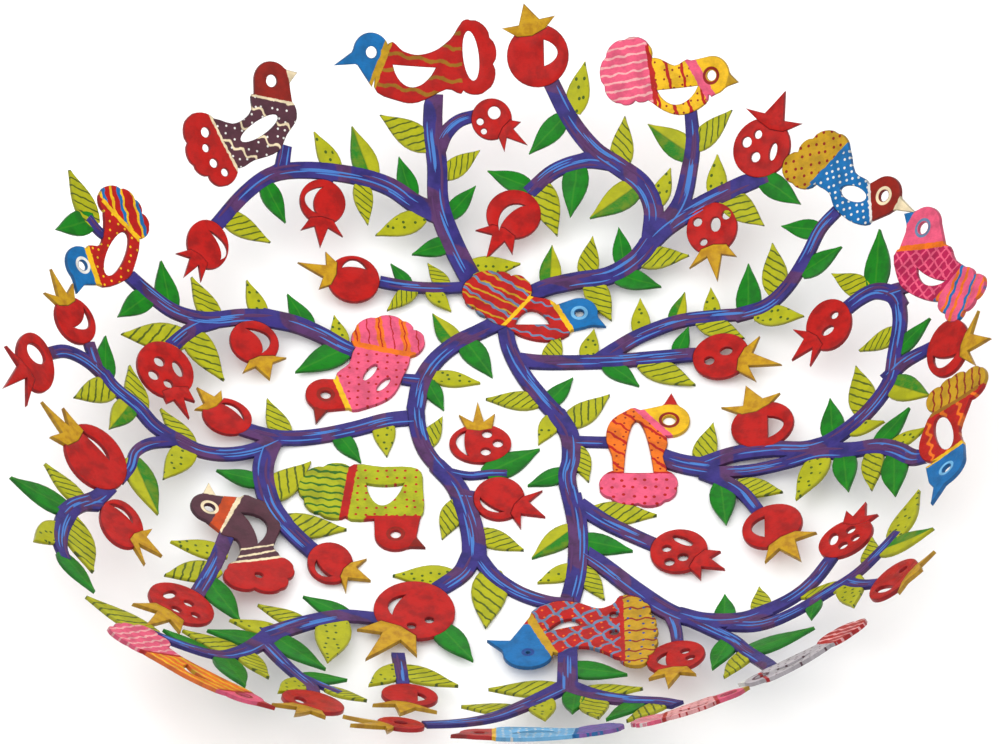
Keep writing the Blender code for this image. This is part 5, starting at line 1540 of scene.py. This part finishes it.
# how far each painted part of a bird reaches, in head radii or millimetres
zones = {"head": 1.75, "beak": 1.6, "beakRoot": 0.95, "tailMargin": 4.0, "eyeMargin": 0.9, "eyeRing": 1.2}


def patterned(patterns, within=None):
    layers = []
    for kind, colour, *values in patterns:
        mask = (linesMask if kind == "lines" else dotsMask)(*values)
        layers.append((colours[colour], both(mask, within) if within else mask))
    return layers


def birdFinish(name, bird):
    look = bird["paint"]
    centre, radius, tip = bird["head"]
    tail = tuple(np.mean(bird["tail"], axis=0))
    reach = max(math.dist(point, tail) for point in bird["tail"]) + zones["tailMargin"]
    inTail = zoneMask(bird["tailLine"], tail, tail, reach)
    out = Vector((tip[0] - centre[0], tip[1] - centre[1], 0)).normalized()
    root = Vector((*centre, 0)) + out * radius * zones["beakRoot"]
    across = Vector((-out.y, out.x, 0))
    beakLine = (tuple((root - across)[:2]), tuple((root + across)[:2]))
    masks = {
        "head": zoneMask(bird["collar"], centre, centre, radius * zones["head"]),
        "beak": zoneMask(beakLine, tip, tip, radius * zones["beak"]),
        "tail": inTail,
    }
    layers = patterned(look["bodyPattern"])
    layers += [(colours[look[part]], mask) for part, mask in masks.items()]
    layers += patterned(look["tailPattern"], inTail)
    bands = [(bird["collar"], look["collar"], look["collarWidth"])]
    bands += [(bird["tailLine"], look["band"], look["bandWidth"]), *look.get("bands", ())]
    layers += [(colours[colour], bandMask(line, width)) for line, colour, width in bands]
    layers += [(colours[look["eye"]], ringMask(centre, bird["eye"] + zones["eyeMargin"], zones["eyeRing"]))]
    return enamel(name + "Paint", colours[look["body"]], 6.0, 0.45, layers)


# leaf paint: strokes laid out on each leaf's own length and breadth
yellowGreen, leafGreen = (167, 167, 6), (6, 119, 8)
leafLooks = {
    "striped": {
        "ground": yellowGreen, "shade": (132, 138, 6), "mark": (70, 84, 10), "half": None, "dots": False,
        "strokes": 6.0, "slant": 2.6, "strokeWidth": 0.15, "strokeReach": 0.42,
        "vein": 0.0, "wobble": 0.5, "patch": 0.5,
    },
    "dotted": {
        "ground": yellowGreen, "shade": (138, 142, 8), "mark": (60, 84, 10), "half": None, "dots": True,
        "strokes": 6.5, "slant": 4.0, "strokeWidth": 0.1, "strokeReach": 0.4,
        "vein": 0.0, "wobble": 0.5, "patch": 0.5,
    },
    "green": {
        "ground": leafGreen, "shade": (4, 82, 12), "mark": (70, 142, 24), "half": None, "dots": False,
        "strokes": 3.0, "slant": 3.0, "strokeWidth": 0.0, "strokeReach": 0.2,
        "vein": 0.25, "wobble": 0.7, "patch": 0.6,
    },
    "two_tone": {
        "ground": yellowGreen, "shade": (128, 134, 6), "mark": (60, 90, 12), "half": (14, 116, 14),
        "dots": False, "strokes": 5.0, "slant": 3.0, "strokeWidth": 0.0, "strokeReach": 0.2,
        "vein": 0.3, "wobble": 0.6, "patch": 0.5,
    },
}
leafMarks = {
    "veinWobble": 0.12, "vein": (0.02, 0.045), "halfWobble": 0.05, "halfEdge": 0.02, "reachEdge": 0.05,
    "dots": {"Spacing": 3.4, "Radius": 0.62, "Unevenness": 0.6}, "dotReach": (0.3, 0.36),
}


def leafFinish(name, look):
    material, tree = newMaterial(name)
    do = partial(maths, tree)
    own = result(tree, "ShaderNodeUVMap", uv_map="leaf")
    along, across, _ = node(tree, "ShaderNodeSeparateXYZ", {0: own}).outputs
    coordinates = node(tree, "ShaderNodeTexCoord").outputs["Object"]
    place = vectors(tree, "MULTIPLY", coordinates, (1 / mm,) * 3)
    wobble = wobbled(tree, place, 0.3, look["wobble"])
    away = do("ABSOLUTE", across)
    middle = do("ABSOLUTE", do("MULTIPLY_ADD", wobble, leafMarks["veinWobble"], across))
    vein = do("MULTIPLY", ramp(tree, middle, *leafMarks["vein"], 1.0, 0.0), look["vein"])
    ground, mark = linear(look["ground"]), linear(look["mark"])
    if look["half"]:
        border = do("MULTIPLY_ADD", wobble, leafMarks["halfWobble"], across)
        other = ramp(tree, border, -leafMarks["halfEdge"], leafMarks["halfEdge"])
        ground = blended(tree, other, ground, linear(look["half"]))
    if look["dots"]:
        painted = used(tree, groups["dots"], Place=place, **leafMarks["dots"])["Mask"]
        within = ramp(tree, away, *leafMarks["dotReach"], 1.0, 0.0)
    else:
        slant = do("MULTIPLY", across, look["slant"])
        spread = do("SUBTRACT", do("MULTIPLY", along, look["strokes"]), slant)
        stroke = do("PINGPONG", do("ADD", spread, wobble), 0.5)
        painted = ramp(tree, stroke, look["strokeWidth"] * 0.5, look["strokeWidth"], 1.0, 0.0)
        low, high = (look["strokeReach"] + side * leafMarks["reachEdge"] for side in (-1, 1))
        within = ramp(tree, away, low, high, 1.0, 0.0)
    marks = do("MAXIMUM", do("MULTIPLY", painted, within), vein)
    tone = blended(tree, marks, ground, mark)
    finished(tree, tone, blended(tree, marks, linear(look["shade"]), mark), place, 5.0, look["patch"])
    return material


# a leaf one unit long; how far it enters its branch, and its breadth over its length
foliage = {"root": 2.5, "plumpness": 0.46}
leafForm = {"rows": 9, "start": 0.12, "shoulder": 0.84, "narrowing": 0.18, "fullness": 0.8, "tip": 0.015}
# the last share sets the painted shade on the leaf's top edges
leafForm |= {"rimDrop": 0.3, "veinDrop": 0.1, "rimPaint": 0.8}


def makeLeaf():
    rows, start, shoulder, thick = leafForm["rows"], leafForm["start"], leafForm["shoulder"], sheet["leaf"]
    rimHeight = thick - leafForm["rimDrop"]
    columns = [(-1.0, rimHeight), (-shoulder, thick), (0.0, thick - leafForm["veinDrop"])]
    columns += [(shoulder, thick), (1.0, rimHeight)]
    t = np.linspace(start, 1, rows)
    half = 0.5 * np.sin(math.pi * t ** leafForm["fullness"]) * (1 - leafForm["narrowing"] * t**4)
    half[-1] = leafForm["tip"]
    x = (t - start) / (1 - start)
    vertices = [(x[r], half[r] * c, z * mm) for r in range(rows) for c, z in columns]
    wide, bottom = len(columns), len(vertices)
    vertices += [(x[r], half[r] * c, 0.0) for r in range(rows) for c in (-1, 1)]
    faces = []
    for r in range(rows - 1):
        a, b = r * wide, (r + 1) * wide
        faces += [(a + c, b + c, b + c + 1, a + c + 1) for c in range(wide - 1)]
        p, q = bottom + 2 * r, bottom + 2 * r + 2
        faces += [(p, p + 1, q + 1, q), (a, p, q, b), (a + wide - 1, b + wide - 1, q + 1, p + 1)]
    last = (rows - 1) * wide
    faces.append((*range(wide), bottom + 1, bottom))
    faces.append((*range(last + wide - 1, last - 1, -1), bottom + 2 * rows - 2, bottom + 2 * rows - 1))
    mesh = meshOf("leafShape", vertices, faces)
    # painted shade: the whole underside and the top edges of the leaf are darkened
    rim = np.zeros(len(vertices))
    rim[bottom:] = 1.0
    rim[:bottom:wide] = rim[wide - 1 : bottom : wide] = leafForm["rimPaint"]
    setNumbers(mesh, "rim", rim)
    setMap(mesh, "leaf", vertices)
    return linked("leafShape", mesh)


def leafPoints(kind):
    places, turns, lengths = [], [], []
    for base, tip in (leaf for limb in branchings.values() for leaf in limb["leaves"].get(kind, ())):
        out = np.subtract(tip, base)
        length = np.linalg.norm(out)
        places.append((*(np.array(base) - out / length * foliage["root"]) * mm, 0.0))
        turns.append(math.atan2(out[1], out[0]))
        lengths.append((length + foliage["root"]) * mm)
    mesh = meshOf("leafPlaces", places)
    setNumbers(mesh, "heading", turns)
    setNumbers(mesh, "length", lengths)
    setNumbers(mesh, "breadth", [length * foliage["plumpness"] for length in lengths])
    return linked("leafPlaces", mesh)


strokeLooks = {
    "blueStrokes": {"colour": "strokeBlue", "spacing": 8.5, "length": 17.0, "halfWidth": 0.36, "seed": 3},
    "plumStrokes": {"colour": "plum", "spacing": 12.0, "length": 15.0, "halfWidth": 0.55, "seed": 11},
}


def outerRuns(routes, shapes):
    runs = []  # the stretches of the branches that no figure covers
    for start, end, route in routes:
        middle = smooth(route, 6)
        half = np.linspace(start, end, len(middle)) / 2
        covered = np.any([turnsRound(shape, middle) != 0 for shape in shapes], axis=0)
        run = []
        for point, width, hidden in [*zip(middle, half, covered), (None, None, True)]:
            if not hidden:
                run.append((*point, width))
            elif run:
                runs.append(run)
                run = []
    return [run for run in runs if len(run) > 4]


def strokePaths(routes, shapes):
    curve = bpy.data.curves.new("branchRoutes", "CURVE")
    curve.dimensions = "3D"
    for run in outerRuns(routes, shapes):
        spline = curve.splines.new("POLY")
        spline.points.add(len(run) - 1)
        for point, (x, y, half) in zip(spline.points, run):
            point.co = (x * mm, y * mm, 0.0, 1.0)
            point.radius = half
    return linked("branchRoutes", curve)


def claimed(piece, nodes):
    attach(piece, "root")
    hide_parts(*nodes)


def spoken(name):
    words = name.split("_")
    return words[0] + "".join(word.capitalize() for word in words[1:])


# a plate raised on the bowl, painted, given its name and fixed to the root body; the nodes it stands for are
# hidden
def laidPlate(name, nodes, slotName, shapes, cuts, thickness, material, smallest):
    flat = plate(name, shapes, cuts, thickness, material, smallest)
    if flat:
        claimed(grownFrom(flat, layTree, name, {"Finish": material}), nodes)


# the build: figures take their place first, then branches run between them
clearScene()
groups = {
    "enamel": makeEnamelGroup(), "lines": makeLinesGroup(), "dots": makeDotsGroup(), "side": makeSideGroup(),
}
layTree, leafTree, strokeTree = makeLayTree(), makeLeafTree(), makeStrokeTree()
smallestPieces = {"figure": 20.0, "crown": 6.0, "branch": 3.0}  # scraps below these areas are left out

plumLines = (colours["plum"], linesMask(35, 23.0, 0.22, 4.0, 31.0))
branchPaint = enamel("branchPaint", colours["indigo"], 7.0, 0.7, [plumLines], colours["navy"])
fruitPaint = enamel("fruitPaint", colours["red"], 6.0, 0.75, shade=colours["darkRed"])
crownPaints = {
    "gold": enamel("crownGold", colours["gold"], 3.5, 0.7, shade=colours["ochre"]),
    "red": enamel("crownRed", colours["red"], 3.5, 0.7, shade=colours["darkRed"]),
}

figureShapes = []
for name, bird in birds.items():
    centre, radius, tip = bird["head"]
    shapes = [ellipse(centre, (radius, radius)), beak(centre, radius, tip)]
    shapes += [neck(centre, radius, bird["collar"])]
    shapes += [anticlockwise(smooth(bird["body"], 4, closed=True)), scalloped(bird["tail"])]
    eye = ellipse(centre, (bird["eye"], bird["eye"]), 0, 14)
    cuts = [*(opening(*hole) for hole in bird["holes"]), eye, *figureShapes]
    look = (sheet["figure"], birdFinish(spoken(name), bird), smallestPieces["figure"])
    laidPlate(spoken(name), [name], name + "_paint", shapes, cuts, *look)
    figureShapes += shapes
print("birds made", len(birds))

for name, fruit in pomegranates.items():
    body = ellipse(fruit["centre"], fruit["across"])
    top = crown(fruit["centre"], fruit["across"], fruit["tips"])
    cuts = [*(opening(*hole) for hole in fruit["holes"]), *figureShapes]
    skin = ([body], [top, *cuts], sheet["figure"], fruitPaint, smallestPieces["figure"])
    tips = ([top], cuts, sheet["figure"], crownPaints[fruit["crown"]], smallestPieces["crown"])
    laidPlate(spoken(name), [name], "fruit_paint", *skin)
    laidPlate(spoken(name) + "Crown", [name], "crown_paint", *tips)
    figureShapes += [body, top]
print("pomegranates made", len(pomegranates))

routes, branchShapes = [], []
for name, limb in branchings.items():
    shapes = [strip(*branch) for branch in limb["branches"]]
    label = spoken(name) + ("Branches" if name in limbs else "Twig")
    cuts = figureShapes + branchShapes
    look = (sheet["branch"], branchPaint, smallestPieces["branch"])
    laidPlate(label, [name], "branch_paint", shapes, cuts, *look)
    routes += limb["branches"]
    branchShapes += shapes
print("branches made", len(branchings))

leafShape = makeLeaf()
for index, (kind, look) in enumerate(leafLooks.items()):
    bearing = [name for name, limb in branchings.items() if kind in limb["leaves"]]
    values = {"Leaf": leafShape, "Finish": leafFinish(kind + "LeafPaint", look), "Seed": seed + index}
    leaves = grownFrom(leafPoints(kind), leafTree, spoken(kind) + "Leaves", values)
    claimed(leaves, bearing)
bpy.data.objects.remove(leafShape, do_unlink=True)
print("leaves made", len(leafLooks))

for name, look in strokeLooks.items():
    values = {
        "Finish": enamel(name + "Paint", colours[look["colour"]]), "Spacing": look["spacing"] * mm,
        "Stroke Length": look["length"] * mm, "Half Width": look["halfWidth"] * mm, "Seed": look["seed"],
    }
    strokes = grownFrom(strokePaths(routes, figureShapes), strokeTree, name, values)
    claimed(strokes, list(limbs))
print("brush strokes made", len(strokeLooks))


# floor, light and camera
floorLook = {
    "half": 30.0, "low": (250, 250, 250), "high": (254, 254, 253), "patches": 1.5,
    "roughness": 0.9, "shine": 0.1,
}
light = {
    "size": 3.2, "sky": 0.96, "lamps": {
        "key": (42.0, (-1.3, -1.0, 2.6)), "fill": (21.0, (1.9, -1.6, 2.0)), "back": (20.0, (0.4, 2.4, 2.2)),
    },
}
camera = {
    "elevation": 47.87, "distance": 4.02, "lens": 392.0, "sensor": 36.0,
    "rise": 0.0351, "aside": -0.0007, "clip": (0.05, 100.0),
}


def paleFloor():
    half = floorLook["half"]
    corners = [(-half, -half, 0), (half, -half, 0), (half, half, 0), (-half, half, 0)]
    mesh = meshOf("floor", corners, [(0, 1, 2, 3)])
    material, tree = newMaterial("floorPaint")
    shader = tree.nodes["Principled BSDF"]
    drift = noise(tree, node(tree, "ShaderNodeTexCoord").outputs["Object"], floorLook["patches"])
    tone = blended(tree, drift, linear(floorLook["low"]), linear(floorLook["high"]))
    put(tree, shader.inputs["Base Color"], tone)
    shader.inputs["Roughness"].default_value = floorLook["roughness"]
    shader.inputs["Specular IOR Level"].default_value = floorLook["shine"]
    mesh.materials.append(material)
    linked("floor", mesh)


def softLight(name, energy, place):
    lamp = bpy.data.lights.new(name, "AREA")
    lamp.energy, lamp.size = energy, light["size"]
    item = linked(name, lamp)
    item.location = place
    item.rotation_euler = (-Vector(place)).to_track_quat("-Z", "Y").to_euler()


def paleSky():
    world = bpy.data.worlds.new("sky")
    world.use_nodes = True
    background = world.node_tree.nodes["Background"]
    background.inputs["Color"].default_value = (1.0, 1.0, 1.0, 1.0)
    background.inputs["Strength"].default_value = light["sky"]
    bpy.context.scene.world = world


def makeCamera():
    e = math.radians(camera["elevation"])
    back, up = Vector((0, -math.cos(e), math.sin(e))), Vector((0, math.sin(e), math.cos(e)))
    target = up * camera["rise"] + Vector((camera["aside"], 0, 0))
    lens = bpy.data.cameras.new("camera")
    lens.lens, lens.sensor_width = camera["lens"], camera["sensor"]
    lens.clip_start, lens.clip_end = camera["clip"]
    item = linked("camera", lens)
    item.location = target + back * camera["distance"]
    item.rotation_euler = (-back).to_track_quat("-Z", "Y").to_euler()
    bpy.context.scene.camera = item


paleFloor()
for name, (energy, place) in light["lamps"].items():
    softLight(name, energy, place)
paleSky()
bpy.context.scene.view_settings.view_transform = "Standard"
makeCamera()
print("scene set")
